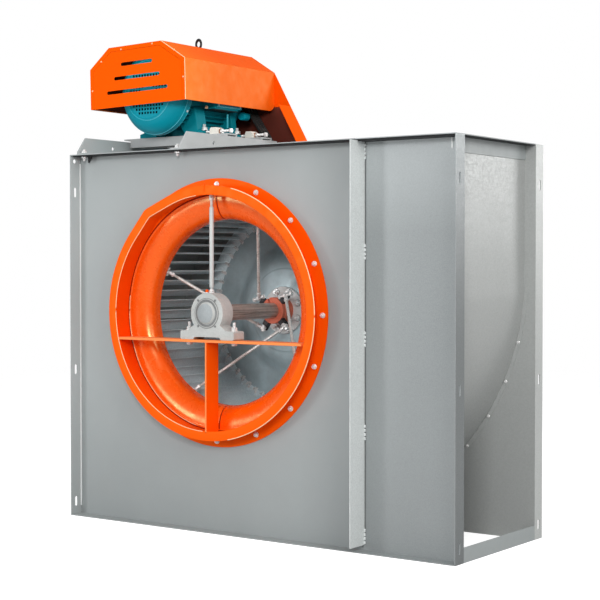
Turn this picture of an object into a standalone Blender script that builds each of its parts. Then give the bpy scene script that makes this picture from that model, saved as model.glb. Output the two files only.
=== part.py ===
"""Belt-driven centrifugal fan: scroll casing, single inlet, forward-curved impeller, motor on the roof.

Metres, +Z up. The inlet faces -Y and the outlet faces +Z. Every shape is written in casing
coordinates: X from the casing's left end, Y from the outer face of the front side plate towards the
back, Z from the ground. One empty then moves them all, so that the world's origin is on the ground
at the middle of the whole fan.
"""

import math

import bmesh
import bpy
from mathutils import Matrix, Vector

GAP = 0.0003

# Casing
CASE_WIDTH = 1.590
CASE_HEIGHT = 1.300
CASE_DEPTH = 0.479
FLANGE = 0.050
SHEET = 0.003
JOINT_X = 1.230
JOINT_OUT = 0.084
SLOT_LENGTH = 0.036
SLOT_WIDTH = 0.012
SLOT_HEIGHTS = (0.048, 0.527, 1.166)
STRIP_HEIGHT = 0.048

# Fan axis and scroll: radius = SCROLL_RADIUS * exp(SCROLL_GROWTH * angle from +X)
FAN_X = 0.640
FAN_Z = 0.742
SCROLL_RADIUS = 0.898
SCROLL_GROWTH = 0.16
TONGUE_ANGLE = math.radians(-288.0)
OUTLET_ANGLE = math.radians(4.4)
OUTLET_LEFT_X = 0.790

# Inlet
INLET_RADIUS = 0.404
PLATE_RING_RADIUS = 0.455
LIP_RADIUS = 0.4375
COLLAR_LENGTH = 0.065
CORNER_ANGLE = math.radians(127.0)
CORNER_SPREAD = math.radians(13.5)
THROAT_RADIUS = 0.318
THROAT_Y = 0.052
BELL_END_Y = 0.072

# Inlet-side bearing and its support
BAR_TOP_Z = 0.6526
BAR_THICKNESS = 0.009
POST_THICKNESS = 0.006
SHAFT_RADIUS = 0.0275
HOUSING_RADIUS = 0.0675
COVER_RADIUS = 0.050
COVER_DEPTH = 0.008
BEARING_SEAT = 0.0395
REAR_PLATE = 0.005
REAR_BEARING_END_Y = 0.524
SHAFT_HOLE_RADIUS = 0.045
FOOT_LENGTH = 0.230
FOOT_HEIGHT = 0.0305
FOOT_DEPTH = 0.055
GREASE_TUBE_RADIUS = 0.0075

# Impeller
BLADES = 60
BLADE_INNER = 0.3445
BLADE_OUTER = 0.3875
BLADE_THICKNESS = 0.0025
RING_Y = 0.078
DISC_Y = 0.4355
HUB_RADIUS = 0.047
HUB_START_Y = 0.309
HUB_END_Y = 0.373
HUB_FLANGE_RADIUS = 0.085
DISH_RADIUS = 0.150
CONE_RADIUS = 0.255
TIE_ROD_RADIUS = 0.0057
TIE_HUB_RADIUS = 0.077
TIE_HUB_Y = 0.315
TIE_RING_RADIUS = 0.331
TIE_ANGLES = ((45.0, -36.0), (146.0, 72.0), (235.0, 155.0), (313.0, 237.0))

# Drive
FAN_PULLEY_RADIUS = 0.200
MOTOR_PULLEY_RADIUS = 0.085
PULLEY_START_Y = 0.535
PULLEY_END_Y = 0.589
BELTS = 3
BELT_PITCH = 0.018
BELT_WIDTH = 0.012
BELT_DEPTH = 0.010
GROOVE_DEPTH = 0.011
BACK_Y = 0.606

# Motor and its base
MOTOR_X = 0.225
BARREL_RADIUS = 0.143
BARREL_BORE = 0.105
BARREL_START_Y = 0.184
BARREL_END_Y = 0.462
MOTOR_SHAFT_RADIUS = 0.021
SHIELD_END_Y = 0.528
SHIELD_BORE = 0.034
CORE_START_Y = 0.225
CORE_END_Y = 0.450
CORE_RADIUS = 0.095
FAN_SEAT_RADIUS = 0.017
ROTOR_START_Y = 0.136
TERMINAL_DEPTH = 0.040
TERMINAL_LOW = (0.285, 1.480)
TERMINAL_HIGH = (0.420, 1.600)
MOTOR_Z = 1.533
MOTOR_FOOT_Z = 1.373
COWL_RADIUS = 0.157
GRILLE_RADIUS = 0.105
GRILLE_Y = 0.118
SHOULDER_Y = 0.172
BASE_LEFT_X = 0.026
BASE_RIGHT_X = 0.507
BASE_TOP_Z = 1.3625
BASE_START_Y = -0.040
BASE_FOOT = 0.045
BASE_SHEET = 0.005
RAIL_YS = (0.255, 0.462)
RAIL_WIDTH = 0.060
RAIL_HEIGHT = 0.033
FOOT_LEFT_X = 0.090
FOOT_RIGHT_X = 0.385
FOOT_HALF_DEPTH = 0.028
BLOCK_LOW_X = 0.414
BLOCK_HIGH_X = 0.450
BLOCK_DEPTH = 0.036
BLOCK_HEIGHT = 0.025
SCREW_END_X = 0.504
SCREW_HEAD = 0.010
SCREW_Z = 1.384
SCREW_RADIUS = 0.006

# Hood and belt guard
HOOD_LEFT_X = -0.020
HOOD_RIGHT_X = 0.4325
HOOD_BOTTOM_Z = 1.478
HOOD_SIDE_Z = 1.625
HOOD_TOP_Z = 1.696
HOOD_TOP_X = (0.074, 0.325)
HOOD_FRONT_Y = 0.078
HOOD_CORNER_RADIUS = 0.043
HOOD_SLOTS = ((0.289, 1.532), (0.217, 1.581), (0.150, 1.630))
HOOD_SLOT_WIDTH = 0.011
GUARD_RADIUS = 0.262
GUARD_FRONT_Y = 0.532
EYE_X = 0.230
EYE_Y = 0.400
EYE_RADIUS = 0.016
EYE_THICKNESS = 0.0045

CENTRE_X = (CASE_WIDTH + HOOD_LEFT_X) / 2
CENTRE_Y = (BACK_Y - JOINT_OUT) / 2

STAND_XZ = (math.radians(90.0), 0.0, 0.0)
STAND_YZ = (math.radians(90.0), 0.0, math.radians(90.0))
TURN_TO_Y = (math.radians(-90.0), 0.0, 0.0)


def clear_scene():
    for obj in list(bpy.data.objects):
        bpy.data.objects.remove(obj, do_unlink=True)


def new_collection(name):
    collection = bpy.data.collections.new(name)
    bpy.context.scene.collection.children.link(collection)
    return collection


def new_material(name, colour, roughness, metallic):
    material = bpy.data.materials.new(name)
    material.use_nodes = True
    shader = material.node_tree.nodes["Principled BSDF"]
    shader.inputs["Base Color"].default_value = (*colour, 1.0)
    shader.inputs["Roughness"].default_value = roughness
    shader.inputs["Metallic"].default_value = metallic
    return material


clear_scene()
PARTS = new_collection("centrifugal_fan")
CUTTERS = new_collection("cutters")
CUTTERS.hide_render = True

ORANGE = new_material("orange_enamel", (0.90, 0.16, 0.02), 0.35, 0.0)
GREY = new_material("grey_enamel", (0.40, 0.43, 0.43), 0.5, 0.0)
ZINC_SHEET = new_material("galvanised_sheet", (0.50, 0.53, 0.53), 0.4, 0.7)
CAST_GREY = new_material("cast_grey", (0.42, 0.42, 0.42), 0.55, 0.0)
STEEL = new_material("bright_steel", (0.38, 0.36, 0.34), 0.35, 1.0)
ZINC = new_material("zinc_plate", (0.70, 0.70, 0.66), 0.3, 1.0)
PRIMER = new_material("red_primer", (0.25, 0.06, 0.035), 0.6, 0.0)
TEAL = new_material("teal_enamel", (0.01, 0.26, 0.33), 0.4, 0.0)
RUBBER = new_material("belt_rubber", (0.03, 0.03, 0.03), 0.8, 0.0)
IRON = new_material("dark_iron", (0.08, 0.08, 0.08), 0.6, 0.4)


def new_empty(name, location, parent):
    empty = bpy.data.objects.new(name, None)
    PARTS.objects.link(empty)
    empty.location = location
    empty.parent = parent
    return empty


def attach(obj, parent):
    """Parents a piece written in casing coordinates, without moving it from them."""
    obj.parent = parent
    shift = Matrix.Identity(4)
    while parent is not CASING:
        shift = Matrix.Translation(-parent.location) @ shift
        parent = parent.parent
    obj.matrix_parent_inverse = shift


def from_bmesh(name, shape):
    mesh = bpy.data.meshes.new(name)
    shape.to_mesh(mesh)
    shape.free()
    return bpy.data.objects.new(name, mesh)


def place(obj, parent, material):
    """Puts a piece in the parts collection, with its own copy of a material."""
    PARTS.objects.link(obj)
    own = material.copy()
    own.name = obj.name
    obj.data.materials.clear()
    obj.data.materials.append(own)
    attach(obj, parent)
    return obj


def as_cutter(obj, parent):
    CUTTERS.objects.link(obj)
    attach(obj, parent)
    obj.hide_render = True
    obj.display_type = "WIRE"
    return obj


def boolean(obj, operation, other):
    modifier = obj.modifiers.new(f"{operation.lower()}_{other.name}", "BOOLEAN")
    modifier.operation = operation
    modifier.solver = "EXACT"
    modifier.object = other


def join(obj, *others):
    for other in others:
        boolean(obj, "UNION", as_cutter(other, obj.parent))


def cut(obj, *others):
    for other in others:
        boolean(obj, "DIFFERENCE", as_cutter(other, obj.parent))


def box(name, low, high):
    shape = bmesh.new()
    size = [b - a for a, b in zip(low, high)]
    middle = [(a + b) / 2 for a, b in zip(low, high)]
    matrix = Matrix.Translation(middle) @ Matrix.Diagonal((*size, 1.0))
    bmesh.ops.create_cube(shape, size=1.0, matrix=matrix)
    return from_bmesh(name, shape)


def rod(name, start, end, radius, segments=16):
    """A round bar between two points."""
    start, end = Vector(start), Vector(end)
    turn = (end - start).to_track_quat("Z", "Y").to_matrix().to_4x4()
    matrix = Matrix.Translation((start + end) / 2) @ turn
    shape = bmesh.new()
    bmesh.ops.create_cone(
        shape,
        cap_ends=True,
        segments=segments,
        radius1=radius,
        radius2=radius,
        depth=(end - start).length,
        matrix=matrix,
    )
    obj = from_bmesh(name, shape)
    smooth(obj)
    return obj


def smooth(obj, angle=35.0):
    obj.data.shade_smooth()
    obj.data.set_sharp_from_angle(angle=math.radians(angle))


def filled(name, outlines, thickness):
    """A mesh in the XY plane of the first outline, with the other outlines as holes in it."""
    curve = bpy.data.curves.new(name, "CURVE")
    curve.dimensions = "2D"
    curve.fill_mode = "BOTH"
    curve.extrude = thickness / 2
    for outline in outlines:
        spline = curve.splines.new("POLY")
        spline.points.add(len(outline) - 1)
        spline.use_cyclic_u = True
        for point, (a, b) in zip(spline.points, outline):
            point.co = (a, b, 0.0, 1.0)
    drawn = bpy.data.objects.new(name, curve)
    CUTTERS.objects.link(drawn)
    bpy.context.view_layer.update()
    graph = bpy.context.evaluated_depsgraph_get()
    mesh = bpy.data.meshes.new_from_object(drawn.evaluated_get(graph))
    bpy.data.objects.remove(drawn)
    shape = bmesh.new()
    shape.from_mesh(mesh)
    bmesh.ops.remove_doubles(shape, verts=shape.verts, dist=1e-6)
    bmesh.ops.recalc_face_normals(shape, faces=shape.faces)
    return shape


def flat(name, outlines, turn, middle, thickness):
    """A sheet cut to the first outline, with the other outlines as holes in it."""
    obj = from_bmesh(name, filled(name, outlines, thickness))
    obj.rotation_euler = turn
    obj.location = middle
    return obj


def flat_xz(name, outlines, low_y, high_y):
    """An outline in X and Z, made thick along Y."""
    return flat(name, outlines, STAND_XZ, (0.0, (low_y + high_y) / 2, 0.0), high_y - low_y)


def flat_yz(name, outlines, low_x, high_x):
    """An outline in Y and Z, made thick along X."""
    return flat(name, outlines, STAND_YZ, ((low_x + high_x) / 2, 0.0, 0.0), high_x - low_x)


def turned(name, profile, x, z, steps=48, closed=True):
    """A profile of (radius, Y) turned about the line along Y at this X and Z.

    The profile runs along its outer side towards -Y. An open one starts and ends on the axis.
    """
    shape = bmesh.new()
    points = [shape.verts.new((radius, 0.0, y)) for radius, y in profile]
    for first, second in zip(points, points[1:]):
        shape.edges.new((first, second))
    if closed:
        shape.edges.new((points[-1], points[0]))
    obj = from_bmesh(name, shape)
    obj.location = (x, 0.0, z)
    obj.rotation_euler = TURN_TO_Y
    screw = obj.modifiers.new("turn", "SCREW")
    screw.axis = "Z"
    screw.angle = math.radians(360.0)
    screw.steps = steps
    screw.render_steps = steps
    screw.use_merge_vertices = True
    screw.merge_threshold = 1e-5
    screw.use_smooth_shade = True
    return obj


def ring(inner, outer, low_y, high_y):
    """The profile of a plain ring, its outer side running towards -Y."""
    return [(outer, high_y), (outer, low_y), (inner, low_y), (inner, high_y)]


def disc(radius, low_y, high_y):
    return [(0.0, high_y), (radius, high_y), (radius, low_y), (0.0, low_y)]


def rectangle(low_a, low_b, high_a, high_b):
    return [(low_a, low_b), (high_a, low_b), (high_a, high_b), (low_a, high_b)]


def arc(centre, radius, start, end, steps):
    """Points on a circle, from one angle in radians to another."""
    angles = [start + (end - start) * i / steps for i in range(steps + 1)]
    return [(centre[0] + radius * math.cos(a), centre[1] + radius * math.sin(a)) for a in angles]


def obround(centre_a, centre_b, length, width, upright=True):
    """An obround's outline: two straight sides and two half circles."""
    reach = (length - width) / 2
    quarter = math.pi / 2
    if upright:
        top, bottom = (centre_a, centre_b + reach), (centre_a, centre_b - reach)
        return arc(top, width / 2, 0, math.pi, 4) + arc(bottom, width / 2, math.pi, 2 * math.pi, 4)
    right, left = (centre_a + reach, centre_b), (centre_a - reach, centre_b)
    return arc(right, width / 2, -quarter, quarter, 4) + arc(left, width / 2, quarter, 3 * quarter, 4)


def at_angle(radius, degrees):
    """X and Z of a point round the fan's axis."""
    angle = math.radians(degrees)
    return FAN_X + radius * math.cos(angle), FAN_Z + radius * math.sin(angle)


def scroll_point(angle, extra=0.0):
    radius = SCROLL_RADIUS * math.exp(SCROLL_GROWTH * angle) + extra
    return FAN_X + radius * math.cos(angle), FAN_Z + radius * math.sin(angle)


CASING = new_empty("casing_frame", (-CENTRE_X, -CENTRE_Y, 0.0), None)
FAN = new_empty("fan_axis", (FAN_X, 0.0, FAN_Z), CASING)
MOTOR = new_empty("motor_slide", (MOTOR_X, 0.0, MOTOR_FOOT_Z), CASING)
ROTOR = new_empty("motor_axis", (0.0, 0.0, MOTOR_Z - MOTOR_FOOT_Z), MOTOR)
SCREWS = [new_empty(f"screw_axis_{i + 1}", (FOOT_RIGHT_X, y, SCREW_Z), CASING) for i, y in enumerate(RAIL_YS)]


# ---------------------------------------------------------------------------------------------
# Casing
# ---------------------------------------------------------------------------------------------


def flange_slots(name, x, low_y, high_y):
    """Cutters for the bolt slots of one end flange."""
    middle = (low_y + high_y) / 2
    slots = []
    for index, height in enumerate(SLOT_HEIGHTS):
        outline = obround(middle, height, SLOT_LENGTH, SLOT_WIDTH)
        slots.append(flat_yz(f"{name}_slot_{index}", [outline], x - 0.01, x + 0.01))
    return slots


def lies_on(edge, axis, value):
    return all(abs(vertex.co[axis] - value) < 1e-6 for vertex in edge.verts)


def side_plate(name, low_x, high_x, y, outwards, ends, holes, material):
    """A folded side plate: flanges stand outwards along its top, its bottom and the ends named.

    The open surface is the face inside the folds, and Solidify adds the sheet behind it.
    """
    left = low_x + SHEET if "left" in ends else low_x
    right = high_x - SHEET if "right" in ends else high_x
    bottom, top = SHEET, CASE_HEIGHT - SHEET
    shape = filled(name, [rectangle(left, bottom, right, top), *holes], 0.0)
    lines = [(1, bottom), (1, top)]
    lines += [(0, left)] if "left" in ends else []
    lines += [(0, right)] if "right" in ends else []
    edges = [edge for edge in shape.edges if any(lies_on(edge, axis, value) for axis, value in lines)]
    made = bmesh.ops.extrude_edge_only(shape, edges=edges)["geom"]
    raised = [item for item in made if isinstance(item, bmesh.types.BMVert)]
    bmesh.ops.translate(shape, verts=raised, vec=(0.0, 0.0, -outwards * FLANGE))
    bmesh.ops.recalc_face_normals(shape, faces=shape.faces)
    shape.faces.ensure_lookup_table()
    if any(face.normal.z * outwards > 0.5 for face in shape.faces):
        bmesh.ops.reverse_faces(shape, faces=shape.faces)
    obj = from_bmesh(name, shape)
    obj.rotation_euler = STAND_XZ
    obj.location = (0.0, y, 0.0)
    plate = place(obj, CASING, material)
    fold = plate.modifiers.new("sheet", "SOLIDIFY")
    fold.thickness = SHEET
    fold.offset = -1.0
    fold.use_even_offset = True
    near, far = sorted((y, y + outwards * FLANGE))
    for end in ends:
        edge = low_x if end == "left" else high_x
        cut(plate, *flange_slots(f"{name}_{end}", edge, near, far))
    return plate


def shaft_hole():
    return arc((FAN_X, FAN_Z), SHAFT_HOLE_RADIUS, 0, 2 * math.pi * 23 / 24, 23)


def casing_plates():
    hole = arc((FAN_X, FAN_Z), INLET_RADIUS + 0.002, 0, 2 * math.pi * 71 / 72, 71)
    side_plate("front_side_plate", 0.0, JOINT_X - GAP, 0.0, -1, ["left"], [hole], GREY)
    side_plate("front_outlet_plate", JOINT_X, CASE_WIDTH, 0.0, -1, ["right"], [], ZINC_SHEET)
    ends = ["left", "right"]
    side_plate("back_side_plate", 0.0, CASE_WIDTH, CASE_DEPTH, 1, ends, [shaft_hole()], ZINC_SHEET)
    joint = rectangle(-JOINT_OUT, SHEET + GAP, -GAP, CASE_HEIGHT - SHEET - GAP)
    joint_x = JOINT_X + 0.001
    place(flat_yz("joint_flange", [joint], joint_x, joint_x + SHEET), CASING, ZINC_SHEET)


def scroll_outline():
    """The scroll sheet's section: its inner side, then its outer side back again."""
    steps = 56
    turns = [TONGUE_ANGLE + (OUTLET_ANGLE - TONGUE_ANGLE) * i / steps for i in range(steps + 1)]
    inner = [scroll_point(angle) for angle in turns]
    outer = [scroll_point(angle, SHEET) for angle in turns]
    top = CASE_HEIGHT - SHEET - GAP
    return [*inner, (inner[-1][0], top), (outer[-1][0], top), *reversed(outer)]


def scroll_and_outlet():
    low, high = SHEET + GAP, CASE_DEPTH - SHEET - GAP
    place(flat_xz("scroll_sheet", [scroll_outline()], low, high), CASING, ZINC_SHEET)
    smooth(bpy.data.objects["scroll_sheet"])
    tongue_x, tongue_z = scroll_point(TONGUE_ANGLE, SHEET + GAP)
    top = CASE_HEIGHT - SHEET - GAP
    wall = [
        (tongue_x, tongue_z + 0.001),
        (tongue_x + 0.012, tongue_z + 0.002),
        (OUTLET_LEFT_X, tongue_z + 0.030),
        (OUTLET_LEFT_X, top),
        (OUTLET_LEFT_X - SHEET, top),
        (OUTLET_LEFT_X - SHEET, tongue_z + 0.031),
        (tongue_x + 0.010, tongue_z + 0.005),
        (tongue_x, tongue_z + 0.004),
    ]
    place(flat_xz("tongue_wall", [wall], low, high), CASING, ZINC_SHEET)
    duct_right_x = scroll_point(OUTLET_ANGLE, SHEET)[0] + GAP
    right = [
        (duct_right_x, top - STRIP_HEIGHT),
        (duct_right_x + SHEET, top - STRIP_HEIGHT),
        (duct_right_x + SHEET, CASE_HEIGHT - SHEET),
        (CASE_WIDTH, CASE_HEIGHT - SHEET),
        (CASE_WIDTH, CASE_HEIGHT),
        (duct_right_x, CASE_HEIGHT),
    ]
    place(flat_xz("outlet_flange_right", [right], low, high), CASING, GREY)
    left_x = OUTLET_LEFT_X - SHEET - GAP
    left = [
        (left_x - FLANGE, CASE_HEIGHT - SHEET),
        (left_x - SHEET, CASE_HEIGHT - SHEET),
        (left_x - SHEET, top - STRIP_HEIGHT),
        (left_x, top - STRIP_HEIGHT),
        (left_x, CASE_HEIGHT),
        (left_x - FLANGE, CASE_HEIGHT),
    ]
    place(flat_xz("outlet_flange_left", [left], low, high), CASING, GREY)
    for name, x in (("bottom_strip_left", 0.0), ("bottom_strip_right", CASE_WIDTH - SHEET)):
        place(box(name, (x, low, 0.0), (x + SHEET, high, STRIP_HEIGHT)), CASING, GREY)


# ---------------------------------------------------------------------------------------------
# Inlet
# ---------------------------------------------------------------------------------------------


def add_corner(obj):
    """Pulls the circle out to the corner of its two tangents, where the rolled strip's ends meet."""
    for vertex in obj.data.vertices:
        angle = math.atan2(vertex.co.z - FAN_Z, vertex.co.x - FAN_X)
        away = CORNER_SPREAD - abs(angle - CORNER_ANGLE)
        if away > 0:
            stretch = 1 / math.cos(away)
            vertex.co.x = FAN_X + (vertex.co.x - FAN_X) * stretch
            vertex.co.z = FAN_Z + (vertex.co.z - FAN_Z) * stretch


def round_sheet(name, section, corner=False):
    """A section of (radius, Y) carried round the fan's axis in 72 steps, in casing coordinates."""
    shape = bmesh.new()
    rings = []
    for step in range(72):
        angle = 2 * math.pi * step / 72
        across, up = math.cos(angle), math.sin(angle)
        rings.append([shape.verts.new((FAN_X + r * across, y, FAN_Z + r * up)) for r, y in section])
    for here, after in zip(rings, rings[1:] + rings[:1]):
        for i in range(len(section)):
            following = (i + 1) % len(section)
            shape.faces.new((here[i], here[following], after[following], after[i]))
    bmesh.ops.recalc_face_normals(shape, faces=shape.faces)
    obj = from_bmesh(name, shape)
    if corner:
        add_corner(obj)
    smooth(obj)
    return obj


def inlet():
    wall = INLET_RADIUS + SHEET
    front = -COLLAR_LENGTH
    plate_ring = round_sheet("inlet_plate_ring", ring(wall, PLATE_RING_RADIUS, -SHEET - GAP, -GAP))
    place(plate_ring, CASING, ORANGE)
    cut(plate_ring, round_sheet("ring_relief", ring(0.3, wall + GAP, -0.01, 0.01), True))
    section = [
        (INLET_RADIUS, -GAP),
        (INLET_RADIUS, front),
        (LIP_RADIUS, front),
        (LIP_RADIUS, front + SHEET),
        (wall, front + SHEET),
        (wall, -GAP),
    ]
    place(round_sheet("inlet_collar", section, True), CASING, ORANGE)
    steps = 5
    inner = []
    for i in range(steps + 1):
        angle = math.pi / 2 * i / steps
        radius = THROAT_RADIUS + (INLET_RADIUS - 0.002 - THROAT_RADIUS) * (1 - math.sin(angle))
        inner.append((radius, THROAT_Y * (1 - math.cos(angle)) ** 0.8))
    inner.append((THROAT_RADIUS, BELL_END_Y))
    outer = [(radius + SHEET, y) for radius, y in reversed(inner)]
    place(turned("inlet_bell", outer + inner, FAN_X, FAN_Z, 60), CASING, ORANGE)


def half_chord(height, radius=INLET_RADIUS - GAP):
    """Half the width of the collar's inside at this height."""
    return math.sqrt((radius * math.cos(math.pi / 72)) ** 2 - (height - FAN_Z) ** 2)


def bearing_support():
    reach = half_chord(BAR_TOP_Z - BAR_THICKNESS)
    low = (FAN_X - reach, -COLLAR_LENGTH, BAR_TOP_Z - BAR_THICKNESS)
    place(box("bearing_crossbar", low, (FAN_X + reach, -GAP, BAR_TOP_Z)), CASING, ORANGE)
    half = POST_THICKNESS / 2
    bottom = FAN_Z - (INLET_RADIUS - GAP) * math.cos(math.pi / 72) + 0.0001
    top = BAR_TOP_Z - BAR_THICKNESS - GAP
    low = (FAN_X - half, -COLLAR_LENGTH, bottom)
    place(box("bearing_post", low, (FAN_X + half, -GAP, top)), CASING, ORANGE)


def bearing_foot_outline():
    """A plummer block's foot, arched underneath, with its shoulders rising to the housing."""
    base = BAR_TOP_Z + GAP
    half = FOOT_LENGTH / 2
    return [
        (FAN_X - half, base),
        (FAN_X - 0.045, base),
        (FAN_X - 0.040, base + 0.010),
        (FAN_X + 0.040, base + 0.010),
        (FAN_X + 0.045, base),
        (FAN_X + half, base),
        (FAN_X + half, base + FOOT_HEIGHT * 0.65),
        (FAN_X + 0.072, base + FOOT_HEIGHT),
        (FAN_X + 0.060, FAN_Z - 0.020),
        (FAN_X - 0.060, FAN_Z - 0.020),
        (FAN_X - 0.072, base + FOOT_HEIGHT),
        (FAN_X - half, base + FOOT_HEIGHT * 0.65),
    ]


def front_bearing():
    """The inlet-side plummer block: a round housing on a foot, bored right through, with a cover."""
    middle = -COLLAR_LENGTH / 2
    low, high = middle - FOOT_DEPTH / 2, middle + FOOT_DEPTH / 2
    bored = BEARING_SEAT + GAP
    body = turned("front_bearing_housing", disc(HOUSING_RADIUS, low, high), FAN_X, FAN_Z, 32, False)
    housing = place(body, CASING, CAST_GREY)
    join(housing, flat_xz("front_bearing_foot", [bearing_foot_outline()], low + 0.002, high - 0.002))
    cut(housing, turned("front_bearing_bore", disc(bored, low - 0.01, high + 0.01), FAN_X, FAN_Z, 32, False))
    cover = [
        (0.0, low - GAP),
        (COVER_RADIUS, low - GAP),
        (COVER_RADIUS, low - 0.006),
        (0.032, low - COVER_DEPTH),
        (0.0, low - COVER_DEPTH),
    ]
    place(turned("front_bearing_cover", cover, FAN_X, FAN_Z, 32, False), CASING, CAST_GREY)
    profile = ring(SHAFT_RADIUS + GAP, BEARING_SEAT, low + 0.004, high - 0.004)
    place(turned("front_bearing_inner_ring", profile, FAN_X, FAN_Z, 32), FAN, STEEL)


def rear_bearing():
    """The drive-side bearing: a square flanged housing on a stiffening plate."""
    bored = BEARING_SEAT + GAP
    low, high = CASE_DEPTH + GAP, CASE_DEPTH + GAP + REAR_PLATE
    square = rectangle(FAN_X - 0.15, FAN_Z - 0.15, FAN_X + 0.15, FAN_Z + 0.15)
    place(flat_xz("rear_bearing_plate", [square, shaft_hole()], low, high), CASING, GREY)
    low, end = high + GAP, REAR_BEARING_END_Y
    body = turned("rear_bearing_housing", ring(bored, HOUSING_RADIUS, low + 0.004, end), FAN_X, FAN_Z, 32)
    housing = place(body, CASING, CAST_GREY)
    square = rectangle(FAN_X - 0.08, FAN_Z - 0.08, FAN_X + 0.08, FAN_Z + 0.08)
    hole = arc((FAN_X, FAN_Z), HOUSING_RADIUS - 0.004, 0, 2 * math.pi * 31 / 32, 31)
    join(housing, flat_xz("rear_bearing_flange", [square, hole], low, low + 0.016))
    profile = ring(SHAFT_RADIUS + GAP, BEARING_SEAT, low, end - 0.002)
    place(turned("rear_bearing_inner_ring", profile, FAN_X, FAN_Z, 32), FAN, STEEL)


def grease_line():
    middle = -COLLAR_LENGTH / 2
    base = FAN_Z + HOUSING_RADIUS
    top = FAN_Z + (INLET_RADIUS - GAP) * math.cos(math.pi / 72)
    at = (FAN_X, middle)
    fitting = rod("grease_fitting", (*at, base + GAP), (*at, base + 0.018), 0.011, 6)
    place(fitting, CASING, ORANGE)
    tube = rod("grease_tube", (*at, base + 0.018 + GAP), (*at, top - 0.045), GREASE_TUBE_RADIUS, 16)
    place(tube, CASING, CAST_GREY)
    join(tube, rod("grease_stub", (*at, top - 0.050), (*at, top - 0.001), 0.005, 12))


# ---------------------------------------------------------------------------------------------
# Fan rotor
# ---------------------------------------------------------------------------------------------


def shaft_and_hub():
    start = -COLLAR_LENGTH / 2 - FOOT_DEPTH / 2 + 0.003
    profile = disc(SHAFT_RADIUS, start, PULLEY_END_Y + 0.008)
    place(turned("fan_shaft", profile, FAN_X, FAN_Z, 32, False), FAN, STEEL)
    bore = SHAFT_RADIUS + GAP
    hub = [
        (HUB_FLANGE_RADIUS, HUB_END_Y + 0.010),
        (HUB_FLANGE_RADIUS, HUB_END_Y),
        (HUB_RADIUS, HUB_END_Y),
        (HUB_RADIUS, HUB_START_Y),
        (bore, HUB_START_Y),
        (bore, HUB_END_Y + 0.010),
    ]
    place(turned("impeller_hub", hub, FAN_X, FAN_Z, 32), FAN, PRIMER)


def back_plate():
    """The impeller's back plate, dished towards the hub."""
    hub_face = HUB_END_Y + 0.010 + GAP
    thick = 0.004
    rim = BLADE_OUTER - 0.002
    profile = [
        (rim, DISC_Y + thick),
        (rim, DISC_Y + GAP),
        (CONE_RADIUS, DISC_Y + GAP),
        (DISH_RADIUS, hub_face),
        (SHAFT_RADIUS + GAP, hub_face),
        (SHAFT_RADIUS + GAP, hub_face + thick),
        (DISH_RADIUS - 0.002, hub_face + thick),
        (CONE_RADIUS - 0.002, DISC_Y + thick),
    ]
    place(turned("impeller_back_plate", profile, FAN_X, FAN_Z, 60), FAN, ZINC_SHEET)


def blade_outline(turn):
    """One forward-curved blade: an arc from the inner circle to the outer one."""
    steps = 3
    sweep = math.radians(4.6)
    bow = 0.0055
    front, back = [], []
    for i in range(steps + 1):
        part = i / steps
        radius = BLADE_INNER + (BLADE_OUTER - BLADE_INNER) * part
        angle = turn + sweep * part
        side = bow * math.sin(math.pi * part)
        across, up = math.cos(angle), math.sin(angle)
        for line, offset in ((front, side + BLADE_THICKNESS / 2), (back, side - BLADE_THICKNESS / 2)):
            line.append((radius * across + offset * up, radius * up - offset * across))
    return front + back[::-1]


def blade_cage():
    """All blades in one welded cage: the front ring and the rear ring hold them."""
    shape = bmesh.new()
    for index in range(BLADES):
        outline = blade_outline(2 * math.pi * index / BLADES)
        low = [shape.verts.new((FAN_X + a, RING_Y + 0.003, FAN_Z + b)) for a, b in outline]
        high = [shape.verts.new((FAN_X + a, DISC_Y - 0.001, FAN_Z + b)) for a, b in outline]
        shape.faces.new(low)
        shape.faces.new(high[::-1])
        count = len(outline)
        for i in range(count):
            after = (i + 1) % count
            shape.faces.new((low[i], high[i], high[after], low[after]))
    bmesh.ops.recalc_face_normals(shape, faces=shape.faces)
    cage = place(from_bmesh("impeller_blade_cage", shape), FAN, ZINC_SHEET)
    front_ring = ring(BLADE_INNER - 0.004, BLADE_OUTER + 0.004, RING_Y, RING_Y + 0.006)
    rear_ring = ring(BLADE_INNER - 0.006, BLADE_OUTER + 0.001, DISC_Y - 0.003, DISC_Y)
    join(cage, turned("front_ring", front_ring, FAN_X, FAN_Z, 72))
    join(cage, turned("rear_ring", rear_ring, FAN_X, FAN_Z, 72))


def tie_rods():
    for index, (hub_angle, ring_angle) in enumerate(TIE_ANGLES):
        x, z = at_angle(TIE_HUB_RADIUS, hub_angle)
        start = (x, TIE_HUB_Y, z)
        x, z = at_angle(TIE_RING_RADIUS, ring_angle)
        end = (x, RING_Y + 0.012, z)
        number = index + 1
        place(rod(f"tie_rod_{number}", start, end, TIE_ROD_RADIUS, 10), FAN, ZINC)


# ---------------------------------------------------------------------------------------------
# Belt drive
# ---------------------------------------------------------------------------------------------


def pulley_profile(radius, bore):
    """A grooved rim, its outer side running towards -Y, and a plain bore."""
    middle = (PULLEY_START_Y + PULLEY_END_Y) / 2
    bottom = radius - GROOVE_DEPTH
    points = [(radius, PULLEY_END_Y)]
    for index in range(BELTS):
        centre = middle + BELT_PITCH * ((BELTS - 1) / 2 - index)
        half = BELT_WIDTH / 2 + 0.001
        points += [(radius, centre + half), (bottom, centre + half)]
        points += [(bottom, centre - half), (radius, centre - half)]
    return points + [(radius, PULLEY_START_Y), (bore, PULLEY_START_Y), (bore, PULLEY_END_Y)]


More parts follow.
